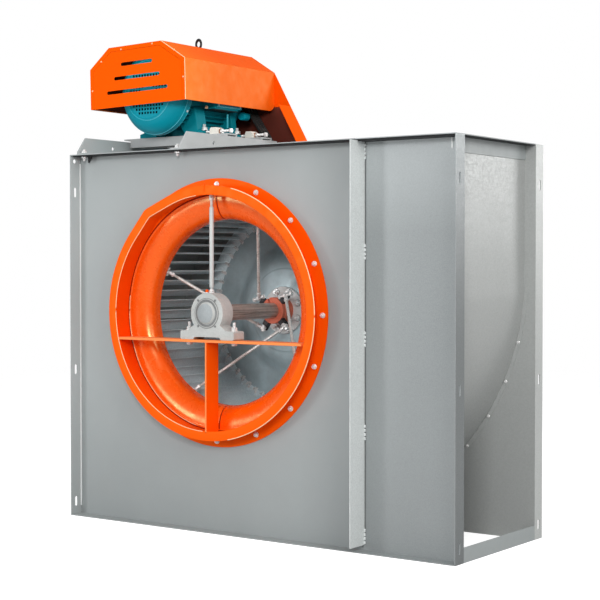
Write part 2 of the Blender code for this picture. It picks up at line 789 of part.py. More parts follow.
def belt_loop(fan_radius, motor_radius):
    """The loop of one belt round both pulleys, as arcs joined by straight runs."""
    across, up = MOTOR_X - FAN_X, MOTOR_Z - FAN_Z
    lean = math.asin((fan_radius - motor_radius) / math.hypot(across, up))
    towards = math.atan2(up, across)
    first, last = towards + math.pi / 2 - lean, towards + 3 * math.pi / 2 + lean
    big = arc((FAN_X, FAN_Z), fan_radius, first, last, 28)
    small = arc((MOTOR_X, MOTOR_Z), motor_radius, last, first + 2 * math.pi, 16)
    return big + small


def drive():
    bore = SHAFT_RADIUS + GAP
    place(turned("fan_pulley", pulley_profile(FAN_PULLEY_RADIUS, bore), FAN_X, FAN_Z, 36), FAN, IRON)
    profile = pulley_profile(MOTOR_PULLEY_RADIUS, MOTOR_SHAFT_RADIUS + GAP)
    place(turned("motor_pulley", profile, MOTOR_X, MOTOR_Z, 24), ROTOR, IRON)
    middle = (PULLEY_START_Y + PULLEY_END_Y) / 2
    seat = -GROOVE_DEPTH + 0.001
    inner = belt_loop(FAN_PULLEY_RADIUS + seat, MOTOR_PULLEY_RADIUS + seat)
    outer = belt_loop(FAN_PULLEY_RADIUS + seat + BELT_DEPTH, MOTOR_PULLEY_RADIUS + seat + BELT_DEPTH)
    for index in range(BELTS):
        centre = middle + BELT_PITCH * (index - (BELTS - 1) / 2)
        name = f"drive_belt_{index + 1}"
        belt = flat_xz(name, [outer, inner], centre - BELT_WIDTH / 2, centre + BELT_WIDTH / 2)
        place(belt, CASING, RUBBER)


# ---------------------------------------------------------------------------------------------
# Motor
# ---------------------------------------------------------------------------------------------


def motor_foot_outline():
    """The motor's feet and the saddle between them, from the front."""
    left, right, ground = FOOT_LEFT_X, FOOT_RIGHT_X, MOTOR_FOOT_Z + GAP
    return [
        (left, ground),
        (left + 0.075, ground),
        (left + 0.085, MOTOR_FOOT_Z + 0.012),
        (right - 0.095, MOTOR_FOOT_Z + 0.012),
        (right - 0.085, ground),
        (right, ground),
        (right, MOTOR_FOOT_Z + 0.022),
        (MOTOR_X + 0.124, MOTOR_Z - 0.065),
        (MOTOR_X + 0.100, MOTOR_Z - 0.090),
        (MOTOR_X - 0.100, MOTOR_Z - 0.090),
        (MOTOR_X - 0.124, MOTOR_Z - 0.065),
        (left, MOTOR_FOOT_Z + 0.022),
    ]


def motor_frame():
    barrel = ring(BARREL_BORE, BARREL_RADIUS, BARREL_START_Y, BARREL_END_Y)
    frame = place(turned("motor_frame", barrel, MOTOR_X, MOTOR_Z, 40), MOTOR, TEAL)
    for index, y in enumerate(RAIL_YS):
        start, end = y - FOOT_HALF_DEPTH, min(y + FOOT_HALF_DEPTH, BARREL_END_Y)
        join(frame, flat_xz(f"motor_foot_{index}", [motor_foot_outline()], start, end))
    bore = disc(BARREL_BORE, BARREL_START_Y - 0.01, BARREL_END_Y + 0.01)
    cut(frame, turned("motor_bore", bore, MOTOR_X, MOTOR_Z, 40, False))


def motor_covers():
    """The fan cowl at the front, open behind its grille, and the drive-end shield."""
    rear = SHOULDER_Y + 0.012 - GAP
    cowl = [
        (COWL_RADIUS, rear),
        (COWL_RADIUS, SHOULDER_Y - 0.010),
        (COWL_RADIUS - 0.010, SHOULDER_Y - 0.032),
        (GRILLE_RADIUS + 0.016, GRILLE_Y + 0.006),
        (GRILLE_RADIUS, GRILLE_Y),
        (0.020, GRILLE_Y),
        (0.020, GRILLE_Y + 0.003),
        (GRILLE_RADIUS - 0.001, GRILLE_Y + 0.003),
        (GRILLE_RADIUS + 0.014, GRILLE_Y + 0.009),
        (COWL_RADIUS - 0.013, SHOULDER_Y - 0.031),
        (COWL_RADIUS - 0.003, SHOULDER_Y - 0.010),
        (COWL_RADIUS - 0.003, rear),
    ]
    place(turned("motor_fan_cowl", cowl, MOTOR_X, MOTOR_Z, 36), MOTOR, TEAL)
    shield = [
        (0.062, SHIELD_END_Y),
        (0.075, BARREL_END_Y + 0.030),
        (BARREL_RADIUS - 0.004, BARREL_END_Y + 0.022),
        (BARREL_RADIUS, BARREL_END_Y + 0.015),
        (BARREL_RADIUS, BARREL_END_Y + GAP),
        (SHIELD_BORE, BARREL_END_Y + GAP),
        (SHIELD_BORE, SHIELD_END_Y),
    ]
    place(turned("motor_drive_end_shield", shield, MOTOR_X, MOTOR_Z, 36), MOTOR, TEAL)


def terminal_box():
    side = MOTOR_X + BARREL_RADIUS + GAP
    lid = side + TERMINAL_DEPTH
    low, high = TERMINAL_LOW, TERMINAL_HIGH
    place(box("terminal_box", (side, *low), (lid, *high)), MOTOR, TEAL)
    lid_low = (lid + GAP, low[0] - 0.005, low[1] - 0.005)
    lid_high = (lid + 0.006, high[0] + 0.005, high[1] + 0.005)
    place(box("terminal_box_lid", lid_low, lid_high), MOTOR, TEAL)
    gland_x, gland_z = side + TERMINAL_DEPTH / 2, low[1] + 0.035
    gland_end = (gland_x, high[0] + 0.032, gland_z)
    place(rod("cable_gland", (gland_x, high[0] + GAP, gland_z), gland_end, 0.015, 8), MOTOR, TEAL)


def cooling_vane(index):
    """One blade of the cooling fan, turned about the motor's axis to its place."""
    vane = box(f"motor_cooling_vane_{index}", (0.028, -0.002, 0.148), (0.118, 0.002, 0.178))
    turn = math.radians(60.0 * index + 8.0)
    for vertex in vane.data.vertices:
        across, over, along = vertex.co
        x = MOTOR_X + across * math.cos(turn) - over * math.sin(turn)
        z = MOTOR_Z + across * math.sin(turn) + over * math.cos(turn)
        vertex.co = (x, along, z)
    vane.data.flip_normals()
    return vane


def motor_rotor():
    shaft_end = PULLEY_END_Y + 0.006
    shaft = [
        (0.0, shaft_end),
        (MOTOR_SHAFT_RADIUS, shaft_end),
        (MOTOR_SHAFT_RADIUS, CORE_END_Y),
        (CORE_RADIUS, CORE_END_Y),
        (CORE_RADIUS, CORE_START_Y),
        (FAN_SEAT_RADIUS, CORE_START_Y),
        (FAN_SEAT_RADIUS, ROTOR_START_Y),
        (0.0, ROTOR_START_Y),
    ]
    place(turned("motor_rotor_shaft", shaft, MOTOR_X, MOTOR_Z, 24, False), ROTOR, STEEL)
    bore = FAN_SEAT_RADIUS + GAP
    wheel = turned("motor_cooling_fan", ring(bore, 0.125, 0.176, 0.180), MOTOR_X, MOTOR_Z, 32)
    fan = place(wheel, ROTOR, IRON)
    join(fan, turned("motor_cooling_fan_hub", ring(bore, 0.032, 0.142, 0.178), MOTOR_X, MOTOR_Z, 16))
    join(fan, *[cooling_vane(index) for index in range(6)])


def base_members():
    """Two angles along Y, standing on the roof, their front ends cut to a slope."""
    bottom = CASE_HEIGHT + GAP
    low_y, high_y = BASE_START_Y, CASE_DEPTH + FLANGE - 0.010
    sides = (("base_member_left", BASE_LEFT_X, 1), ("base_member_right", BASE_RIGHT_X, -1))
    for name, web_x, inwards in sides:
        angle = [
            (web_x, bottom),
            (web_x + inwards * BASE_FOOT, bottom),
            (web_x + inwards * BASE_FOOT, bottom + BASE_SHEET),
            (web_x + inwards * BASE_SHEET, bottom + BASE_SHEET),
            (web_x + inwards * BASE_SHEET, BASE_TOP_Z),
            (web_x, BASE_TOP_Z),
        ]
        member = place(flat_xz(name, [angle], low_y, high_y), CASING, GREY)
        slope = [
            (low_y - 0.01, bottom + 0.010),
            (low_y, bottom + 0.010),
            (0.0, BASE_TOP_Z + 0.001),
            (0.0, BASE_TOP_Z + 0.04),
            (low_y - 0.01, BASE_TOP_Z + 0.04),
        ]
        cut(member, flat_yz(f"{name}_slope", [slope], web_x - 0.02, web_x + 0.02))


def rails():
    """Two channels across the members, open underneath. The motor's feet stand on them."""
    start, end = BASE_LEFT_X + BASE_SHEET + GAP, BASE_RIGHT_X - BASE_SHEET - GAP
    top, under = MOTOR_FOOT_Z, MOTOR_FOOT_Z - RAIL_HEIGHT
    for name, y in zip(("motor_rail_front", "motor_rail_rear"), RAIL_YS):
        low, high = y - RAIL_WIDTH / 2, y + RAIL_WIDTH / 2
        channel = [
            (low, under),
            (low + BASE_SHEET, under),
            (low + BASE_SHEET, top - BASE_SHEET),
            (high - BASE_SHEET, top - BASE_SHEET),
            (high - BASE_SHEET, under),
            (high, under),
            (high, top),
            (low, top),
        ]
        place(flat_yz(name, [channel], start, end), CASING, GREY)


def tension_gear():
    """On each rail, a lug with a screw through it that pushes the motor's foot."""
    for index, y in enumerate(RAIL_YS):
        number = index + 1
        low = (BLOCK_LOW_X, y - BLOCK_DEPTH / 2, MOTOR_FOOT_Z + GAP)
        high = (BLOCK_HIGH_X, y + BLOCK_DEPTH / 2, MOTOR_FOOT_Z + BLOCK_HEIGHT)
        block = place(box(f"tension_block_{number}", low, high), CASING, ZINC)
        start, end = (BLOCK_LOW_X - 0.01, y, SCREW_Z), (BLOCK_HIGH_X + 0.01, y, SCREW_Z)
        cut(block, rod(f"tension_bore_{number}", start, end, SCREW_RADIUS + 0.0006))
        head = (SCREW_END_X - SCREW_HEAD, y, SCREW_Z)
        shank = rod(f"tension_screw_{number}", (FOOT_RIGHT_X + GAP, y, SCREW_Z), head, SCREW_RADIUS)
        screw = place(shank, SCREWS[index], ZINC)
        start = (head[0] - 0.001, y, SCREW_Z)
        join(screw, rod(f"tension_head_{number}", start, (SCREW_END_X, y, SCREW_Z), 0.010, 6))


# ---------------------------------------------------------------------------------------------
# Hood and belt guard
# ---------------------------------------------------------------------------------------------


def hood_outline(inset, bottom):
    """The hood's section: two upright sides, two chamfers and a flat top."""
    lean = inset * 0.55
    return [
        (HOOD_LEFT_X + inset, bottom),
        (HOOD_LEFT_X + inset, HOOD_SIDE_Z - lean),
        (HOOD_TOP_X[0] + lean, HOOD_TOP_Z - inset),
        (HOOD_TOP_X[1] - lean, HOOD_TOP_Z - inset),
        (HOOD_RIGHT_X - inset, HOOD_SIDE_Z - lean),
        (HOOD_RIGHT_X - inset, bottom),
    ]


def rear_corner(x):
    """A cutter that rounds the rear bottom corner of one side."""
    radius, bottom = HOOD_CORNER_RADIUS, HOOD_BOTTOM_Z
    back = BACK_Y - SHEET - GAP
    curve = arc((back - radius, bottom + radius), radius, -math.pi / 2, 0, 6)
    outline = [*curve, (back + 0.01, bottom + radius), (back + 0.01, bottom - 0.01)]
    outline.append((back - radius, bottom - 0.01))
    return flat_yz("rear_corner", [outline], x - 0.02, x + 0.02)


def hood():
    end = BACK_Y - SHEET - GAP
    shell = flat_xz("motor_hood", [hood_outline(0.0, HOOD_BOTTOM_Z)], HOOD_FRONT_Y, end)
    place(shell, CASING, ORANGE)
    inside = hood_outline(SHEET, HOOD_BOTTOM_Z - 0.02)
    cut(shell, flat_xz("hood_inside", [inside], HOOD_FRONT_Y + SHEET, end + 0.02))
    middle = (HOOD_LEFT_X + HOOD_RIGHT_X) / 2
    for index, (length, height) in enumerate(HOOD_SLOTS):
        slot = obround(middle, height, length, HOOD_SLOT_WIDTH, upright=False)
        cut(shell, flat_xz(f"hood_slot_{index}", [slot], HOOD_FRONT_Y - 0.01, HOOD_FRONT_Y + 0.01))
    cut(shell, rear_corner(HOOD_RIGHT_X))


def lifting_eye():
    foot, top = (EYE_X, EYE_Y, HOOD_TOP_Z + GAP), (EYE_X, EYE_Y, HOOD_TOP_Z + 0.014)
    eye = place(rod("lifting_eye", foot, top, 0.007, 12), CASING, IRON)
    angles = [math.radians(45.0 * i) for i in range(8)]
    section = [(EYE_RADIUS + EYE_THICKNESS * math.cos(a), -EYE_THICKNESS * math.sin(a)) for a in angles]
    loop = turned("eye_loop", section, EYE_X, HOOD_TOP_Z + 0.010 + EYE_RADIUS, 20)
    loop.location.y = EYE_Y
    join(eye, loop)


def tangent_angle(x, z, side):
    """Where the straight run from this point meets the guard's round end."""
    across, up = x - FAN_X, z - FAN_Z
    return math.atan2(up, across) + side * math.acos(GUARD_RADIUS / math.hypot(across, up))


def guard_outline(inset):
    """The guard's section: the hood's above, then a channel that leans down round the fan pulley."""
    lowest_left = HOOD_BOTTOM_Z - 0.060
    start = tangent_angle(HOOD_LEFT_X, lowest_left, 1)
    end = 2 * math.pi + tangent_angle(HOOD_RIGHT_X, HOOD_SIDE_Z, -1)
    curve = arc((FAN_X, FAN_Z), GUARD_RADIUS - inset, start, end, 20)
    top = hood_outline(inset, HOOD_BOTTOM_Z)[1:5]
    return [*curve, *reversed(top), (HOOD_LEFT_X + inset, lowest_left)]


def belt_guard():
    """An open pan: its walls stop below the hood, whose sides take their place."""
    pan = flat_xz("belt_guard", [guard_outline(0.0)], GUARD_FRONT_Y, BACK_Y)
    guard = place(pan, CASING, ORANGE)
    inside = guard_outline(SHEET)
    cut(guard, flat_xz("belt_guard_inside", [inside], GUARD_FRONT_Y - 0.01, BACK_Y - SHEET))
    low = (HOOD_LEFT_X - 0.02, GUARD_FRONT_Y - 0.02, HOOD_BOTTOM_Z - GAP)
    high = (HOOD_RIGHT_X + GAP, BACK_Y - SHEET + 0.0002, HOOD_TOP_Z + 0.02)
    cut(guard, box("belt_guard_notch", low, high))


casing_plates()
scroll_and_outlet()
inlet()
bearing_support()
front_bearing()
rear_bearing()
grease_line()
shaft_and_hub()
back_plate()
blade_cage()
tie_rods()
drive()
motor_frame()
motor_covers()
terminal_box()
motor_rotor()
base_members()
rails()
tension_gear()
hood()
lifting_eye()
belt_guard()
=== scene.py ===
"""The looks of the belt-driven centrifugal fan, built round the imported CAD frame."""

import math
import random

import bmesh
import bpy
from mathutils import Matrix, Vector


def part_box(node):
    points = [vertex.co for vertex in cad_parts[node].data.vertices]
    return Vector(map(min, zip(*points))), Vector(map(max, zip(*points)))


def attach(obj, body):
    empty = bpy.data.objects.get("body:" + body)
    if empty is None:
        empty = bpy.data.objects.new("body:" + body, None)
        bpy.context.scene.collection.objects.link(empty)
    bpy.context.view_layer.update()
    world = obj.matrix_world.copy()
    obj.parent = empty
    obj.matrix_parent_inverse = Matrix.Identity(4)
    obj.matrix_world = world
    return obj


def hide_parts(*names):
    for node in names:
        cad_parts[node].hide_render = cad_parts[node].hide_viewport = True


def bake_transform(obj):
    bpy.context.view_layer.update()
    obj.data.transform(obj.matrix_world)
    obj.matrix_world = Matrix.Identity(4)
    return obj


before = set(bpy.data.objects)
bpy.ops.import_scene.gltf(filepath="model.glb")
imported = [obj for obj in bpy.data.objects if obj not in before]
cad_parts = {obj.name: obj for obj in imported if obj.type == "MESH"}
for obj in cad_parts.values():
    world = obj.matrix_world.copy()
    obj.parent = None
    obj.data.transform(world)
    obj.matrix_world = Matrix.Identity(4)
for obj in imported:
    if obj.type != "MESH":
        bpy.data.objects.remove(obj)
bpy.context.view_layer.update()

# Casing coordinates: X from the casing's left end, Y from the front plate's outer face, Z from the ground.
SHEET = 0.003
PLATE_LOW, PLATE_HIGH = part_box("front_side_plate")
X0 = PLATE_LOW.x
Y0 = PLATE_HIGH.y - SHEET
SHIFT = Vector((X0, Y0, 0.0))


def box_of(node):
    """A CAD node's lowest and highest corner, in casing coordinates."""
    low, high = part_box(node)
    return low - SHIFT, high - SHIFT


def middle_of(node):
    low, high = box_of(node)
    return (low + high) / 2


CASE_WIDTH = box_of("back_side_plate")[1].x
CASE_HEIGHT = box_of("back_side_plate")[1].z
CASE_DEPTH = box_of("back_side_plate")[0].y + SHEET
FLANGE = box_of("back_side_plate")[1].y - CASE_DEPTH
JOINT_X = box_of("front_outlet_plate")[0].x
FAN_X, FAN_Z = middle_of("fan_shaft").x, middle_of("fan_shaft").z
MOTOR_X, MOTOR_Z = middle_of("motor_rotor_shaft").x, middle_of("motor_rotor_shaft").z
FAN, FAN_AXIS = (FAN_X, FAN_Z), (FAN_X, 0, FAN_Z)
MOTOR, MOTOR_AXIS = (MOTOR_X, MOTOR_Z), (MOTOR_X, 0, MOTOR_Z)
LEFT_TOE = 0.090
COLLAR_LENGTH = -box_of("inlet_collar")[0].y
LIP_RADIUS = box_of("inlet_collar")[1].x - FAN_X
PLATE_RING_RADIUS = box_of("inlet_plate_ring")[1].x - FAN_X
INLET_RADIUS = LIP_RADIUS - 0.0335
WALL_RADIUS = INLET_RADIUS + SHEET
INLET_STEPS = 240
SHAFT_HOLE = 0.045
HOUSING_BORE = 0.0400
STRIP_WIDTH, STRIP_THICKNESS = 0.014, 0.0016
BASE_SHEET = 0.005
BELTS, BELT_PITCH = 3, 0.018

SLOT_HEIGHTS = (0.048, 0.527, 1.166)
SLOT_SIZE = (0.036, 0.012)
CORNER_ANGLE = math.radians(127.0)
CORNER_SPREAD = math.radians(13.5)

SCROLL_RADIUS = 0.898
SCROLL_GROWTH = 0.16
TONGUE_ANGLE = math.radians(-288.0)
OUTLET_ANGLE = math.radians(4.4)

FORWARD = Vector((0.0, -1.0, 0.0))
BACKWARD = Vector((0.0, 1.0, 0.0))
UP = Vector((0.0, 0.0, 1.0))
RIGHT = Vector((1.0, 0.0, 0.0))
ON_AXIS = 1e-7


# ---------------------------------------------------------------------------------------------
# Mesh tools
# ---------------------------------------------------------------------------------------------


def basis(axis):
    """Two directions square to an axis, and the axis itself."""
    axis = Vector(axis).normalized()
    side = UP.cross(axis)
    side = side.normalized() if side.length > 1e-4 else RIGHT.copy()
    return side, axis.cross(side), axis


def heading(points, i):
    """The direction of a line of points at one of them."""
    return points[min(i + 1, len(points) - 1)] - points[max(i - 1, 0)]


def pointed(centre, angle):
    """Places a shape drawn along X, so that it points away from a centre at an angle in XZ."""
    return Matrix.Translation(centre) @ Matrix.Rotation(-angle, 4, "Y")


def linked(name, data):
    obj = bpy.data.objects.new(name, data)
    bpy.context.scene.collection.objects.link(obj)
    return obj


def as_object(name, mesh):
    data = bpy.data.meshes.new(name)
    mesh.to_mesh(data)
    mesh.free()
    return linked(name, data)


class Shape:
    """A mesh put together from simple solids, in casing coordinates."""

    def __init__(self):
        self.mesh = bmesh.new()

    def ring(self, centre, side, over, radius, steps, turn=0.0):
        """New vertices in a circle, in the plane of two directions."""
        points = []
        for step in range(steps):
            angle = turn + 2 * math.pi * step / steps
            out = (side * math.cos(angle) + over * math.sin(angle)) * radius
            points.append(self.mesh.verts.new(centre + out))
        return points

    def skin(self, rings):
        """Faces over both ends of a row of rings, and between the rings."""
        steps = len(rings[0])
        self.mesh.faces.new(rings[0][::-1])
        self.mesh.faces.new(rings[-1])
        for first, second in zip(rings, rings[1:]):
            for step in range(steps):
                after = (step + 1) % steps
                self.mesh.faces.new((first[step], first[after], second[after], second[step]))
        return self

    def lathe(self, profile, origin, axis, steps=48, closed=False, turn=0.0):
        """A profile of (radius, distance along the axis), turned about the axis."""
        side, over, axis = basis(axis)
        origin = Vector(origin)
        rings = []
        for radius, along in profile:
            centre = origin + axis * along
            if radius < ON_AXIS:
                rings.append([self.mesh.verts.new(centre)])
            else:
                rings.append(self.ring(centre, side, over, radius, steps, turn))
        pairs = list(zip(rings, rings[1:]))
        if closed:
            pairs.append((rings[-1], rings[0]))
        for first, second in pairs:
            for step in range(steps):
                after = (step + 1) % steps
                corners = [first[step % len(first)], first[after % len(first)]]
                corners += [second[after % len(second)], second[step % len(second)]]
                corners = list(dict.fromkeys(corners))
                if len(corners) > 2:
                    self.mesh.faces.new(corners)
        return self

    def box(self, low, high, matrix=None):
        size = [b - a for a, b in zip(low, high)]
        middle = [(a + b) / 2 for a, b in zip(low, high)]
        place = Matrix.Translation(middle) @ Matrix.Diagonal((*size, 1.0))
        if matrix is not None:
            place = matrix @ place
        bmesh.ops.create_cube(self.mesh, size=1.0, matrix=place)
        return self

    def prism(self, outline, origin, across, up, length):
        """An outline in the plane of two directions, made solid along their cross product."""
        across, up, origin = Vector(across), Vector(up), Vector(origin)
        depth = across.cross(up).normalized() * length
        low = [self.mesh.verts.new(origin + across * a + up * b) for a, b in outline]
        high = [self.mesh.verts.new(vertex.co + depth) for vertex in low]
        self.mesh.faces.new(low[::-1])
        self.mesh.faces.new(high)
        for i in range(len(low)):
            after = (i + 1) % len(low)
            self.mesh.faces.new((low[i], low[after], high[after], high[i]))
        return self

    def tube(self, points, radius, sides=12):
        """A round bar along a line of points, with flat ends."""
        points = [Vector(point) for point in points]
        rings = []
        for i, point in enumerate(points):
            side, over, _ = basis(heading(points, i))
            rings.append(self.ring(point, side, over, radius, sides))
        return self.skin(rings)

    def hexagon(self, origin, axis, across_flats, height, turn=0.0):
        """A bolt head or a nut, its top edge chamfered."""
        radius = across_flats / math.sqrt(3)
        chamfer = height * 0.14
        profile = [(0, 0), (radius, 0), (radius, height - chamfer), (radius * 0.9, height), (0, height)]
        return self.lathe(profile, origin, axis, 6, turn=turn)

    def washer(self, origin, axis, radius, height=0.002):
        return self.lathe(rectangle(0, 0, radius, height), origin, axis, 20)

    def bolt(self, origin, axis, size, turn=0.0, stud=0.0):
        """A hexagon bolt on a washer: size is its thread's diameter, stud how far a thread stands out."""
        axis = Vector(axis).normalized()
        origin = Vector(origin)
        self.washer(origin, axis, size * 1.08, size * 0.18)
        self.hexagon(origin + axis * size * 0.18, axis, size * 1.7, size * 0.66, turn)
        if stud:
            self.thread(origin + axis * size * 0.8, axis, size / 2, stud)
        return self

    def thread(self, origin, axis, radius, length):
        """A threaded stretch, as stacked ridges."""
        profile = [(0.0, 0.0)]
        ridges = max(2, round(length / 0.0016))
        for i in range(ridges):
            profile.append((radius * 0.86, length * i / ridges))
            profile.append((radius, length * (i + 0.5) / ridges))
        profile += [(radius * 0.86, length), (0.0, length)]
        return self.lathe(profile, origin, axis, 12)

    def weld(self, points, radius, seed):
        """A bead of weld: a tube whose thickness ripples."""
        maker = random.Random(seed)
        points = [Vector(point) for point in points]
        count = max(3, round(sum((b - a).length for a, b in zip(points, points[1:])) / (radius * 0.9)))
        rings = []
        for i in range(count + 1):
            part = i / count * (len(points) - 1)
            k = min(int(part), len(points) - 2)
            point = points[k].lerp(points[k + 1], part - k)
            side, over, _ = basis(points[k + 1] - points[k])
            end = min(i, count - i)
            size = radius * (0.82 + 0.3 * (i % 2) + maker.uniform(-0.08, 0.08)) * (0.45 if end == 0 else 1.0)
            rings.append(self.ring(point, side, over, size, 8))
        return self.skin(rings)

    def object(self, name):
        bmesh.ops.recalc_face_normals(self.mesh, faces=self.mesh.faces)
        return as_object(name, self.mesh)

    def finish(self, name, *looks, **more):
        """Makes a piece of this name, with what finish_piece takes after the object."""
        return finish_piece(self.object(name), *looks, **more)


def finish_piece(obj, body, slot, skin, bevel=0.0, segments=2, angle=35.0, nodes=()):
    """Shades, bevels and places a piece, ties it to its body when it names a single one (a pair of bodies
    only fixes its place), and hides its CAD nodes. The slot is not used.
    """
    obj.data.transform(Matrix.Translation(SHIFT))
    obj.data.shade_smooth()
    obj.data.set_sharp_from_angle(angle=math.radians(angle))
    if bevel:
        edge = obj.modifiers.new("edges", "BEVEL")
        edge.width = bevel
        edge.segments = segments
        edge.limit_method = "ANGLE"
        edge.angle_limit = math.radians(angle)
        edge.harden_normals = True
    obj.data.materials.clear()
    obj.data.materials.append(SKIN[skin])
    if isinstance(body, str):
        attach(obj, body)
    else:
        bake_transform(obj)
    if nodes:
        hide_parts(*nodes)
    return obj


def filled(outlines, thickness=0.0):
    """A flat mesh in XY of the first outline, with the others as holes in it."""
    curve = bpy.data.curves.new("outline", "CURVE")
    curve.dimensions = "2D"
    curve.fill_mode = "BOTH"
    curve.extrude = thickness / 2
    for outline in outlines:
        spline = curve.splines.new("POLY")
        spline.points.add(len(outline) - 1)
        spline.use_cyclic_u = True
        for point, (a, b) in zip(spline.points, outline):
            point.co = (a, b, 0.0, 1.0)
    drawn = linked("outline", curve)
    bpy.context.view_layer.update()
    mesh = bpy.data.meshes.new_from_object(drawn.evaluated_get(bpy.context.evaluated_depsgraph_get()))
    bpy.data.objects.remove(drawn)
    bpy.data.curves.remove(curve)
    shape = bmesh.new()
    shape.from_mesh(mesh)
    bpy.data.meshes.remove(mesh)
    bmesh.ops.remove_doubles(shape, verts=shape.verts, dist=1e-6)
    return shape


PLANES = {
    "XZ": Matrix(((1, 0, 0, 0), (0, 0, -1, 0), (0, 1, 0, 0), (0, 0, 0, 1))),
    "YZ": Matrix(((0, 0, 1, 0), (1, 0, 0, 0), (0, 1, 0, 0), (0, 0, 0, 1))),
    "XY": Matrix.Identity(4),
}
NORMALS = {"XZ": Vector((0, 1, 0)), "YZ": Vector((1, 0, 0)), "XY": Vector((0, 0, 1))}


def flat(name, outlines, plane, low, high):
    """A sheet in the named plane, cut to its outlines, from one distance to another along its normal."""
    shape = Shape()
    shape.mesh.free()
    shape.mesh = filled(outlines, high - low)
    move = Matrix.Translation(NORMALS[plane] * (low + high) / 2) @ PLANES[plane]
    bmesh.ops.transform(shape.mesh, matrix=move, verts=shape.mesh.verts)
    return shape.object(name)


def cutter(outline, plane, at, reach=0.01):
    """A solid that cuts an outline through a sheet lying at a distance along the plane's normal."""
    return flat("cutter", [outline], plane, at - reach, at + reach)


def revolved(name, section, centre, axis, steps):
    """A ring with a closed section."""
    return Shape().lathe(section, centre, axis, steps, closed=True).object(name)


def merge(obj, *others):
    """Adds other objects' meshes to the first one, as loose shells."""
    shape = bmesh.new()
    for source in (obj, *others):
        shape.from_mesh(source.data)
    shape.to_mesh(obj.data)
    shape.free()
    for other in others:
        bpy.data.objects.remove(other)
    return obj


def applied(obj):
    """Swaps an object's mesh for what its modifiers make of it."""
    bpy.context.view_layer.update()
    mesh = bpy.data.meshes.new_from_object(obj.evaluated_get(bpy.context.evaluated_depsgraph_get()))
    obj.modifiers.clear()
    obj.data = mesh
    return obj


def carve(obj, *cutters):
    """Cuts cutters out of an object for good."""
    for cutter in cutters:
        modifier = obj.modifiers.new("cut", "BOOLEAN")
        modifier.operation = "DIFFERENCE"
        modifier.solver = "EXACT"
        modifier.object = cutter
    applied(obj)
    for cutter in cutters:
        bpy.data.objects.remove(cutter)
    return obj


def solidify(obj, thickness):
    modifier = obj.modifiers.new("sheet", "SOLIDIFY")
    modifier.thickness = thickness
    modifier.offset = -1.0
    modifier.use_even_offset = True
    return obj


def arc(centre, radius, start, end, steps):
    angles = [start + (end - start) * i / steps for i in range(steps + 1)]
    return [(centre[0] + radius * math.cos(a), centre[1] + radius * math.sin(a)) for a in angles]


def circle(centre, radius, steps=96):
    return arc(centre, radius, 0.0, 2 * math.pi * (steps - 1) / steps, steps - 1)


def rectangle(low_a, low_b, high_a, high_b):
    return [(low_a, low_b), (high_a, low_b), (high_a, high_b), (low_a, high_b)]


def rounded(low_a, low_b, high_a, high_b, radius, steps=5):
    """A rectangle with round corners."""
    quarter = math.pi / 2
    points = []
    corners = ((high_a - radius, high_b - radius), (low_a + radius, high_b - radius))
    corners += ((low_a + radius, low_b + radius), (high_a - radius, low_b + radius))
    for index, corner in enumerate(corners):
        points += arc(corner, radius, index * quarter, (index + 1) * quarter, steps)
    return points


def obround(centre_a, centre_b, length, width, upright=True):
    half_a, half_b = (width / 2, length / 2) if upright else (length / 2, width / 2)
    return rounded(
        centre_a - half_a, centre_b - half_b, centre_a + half_a, centre_b + half_b, width / 2 - 1e-5
    )


def polar(radius, degrees, centre=None):
    """X and Z at an angle round the fan's axis, or round another."""
    x, z = centre or FAN
    angle = math.radians(degrees)
    return x + radius * math.cos(angle), z + radius * math.sin(angle)


# ---------------------------------------------------------------------------------------------
# Materials
# ---------------------------------------------------------------------------------------------


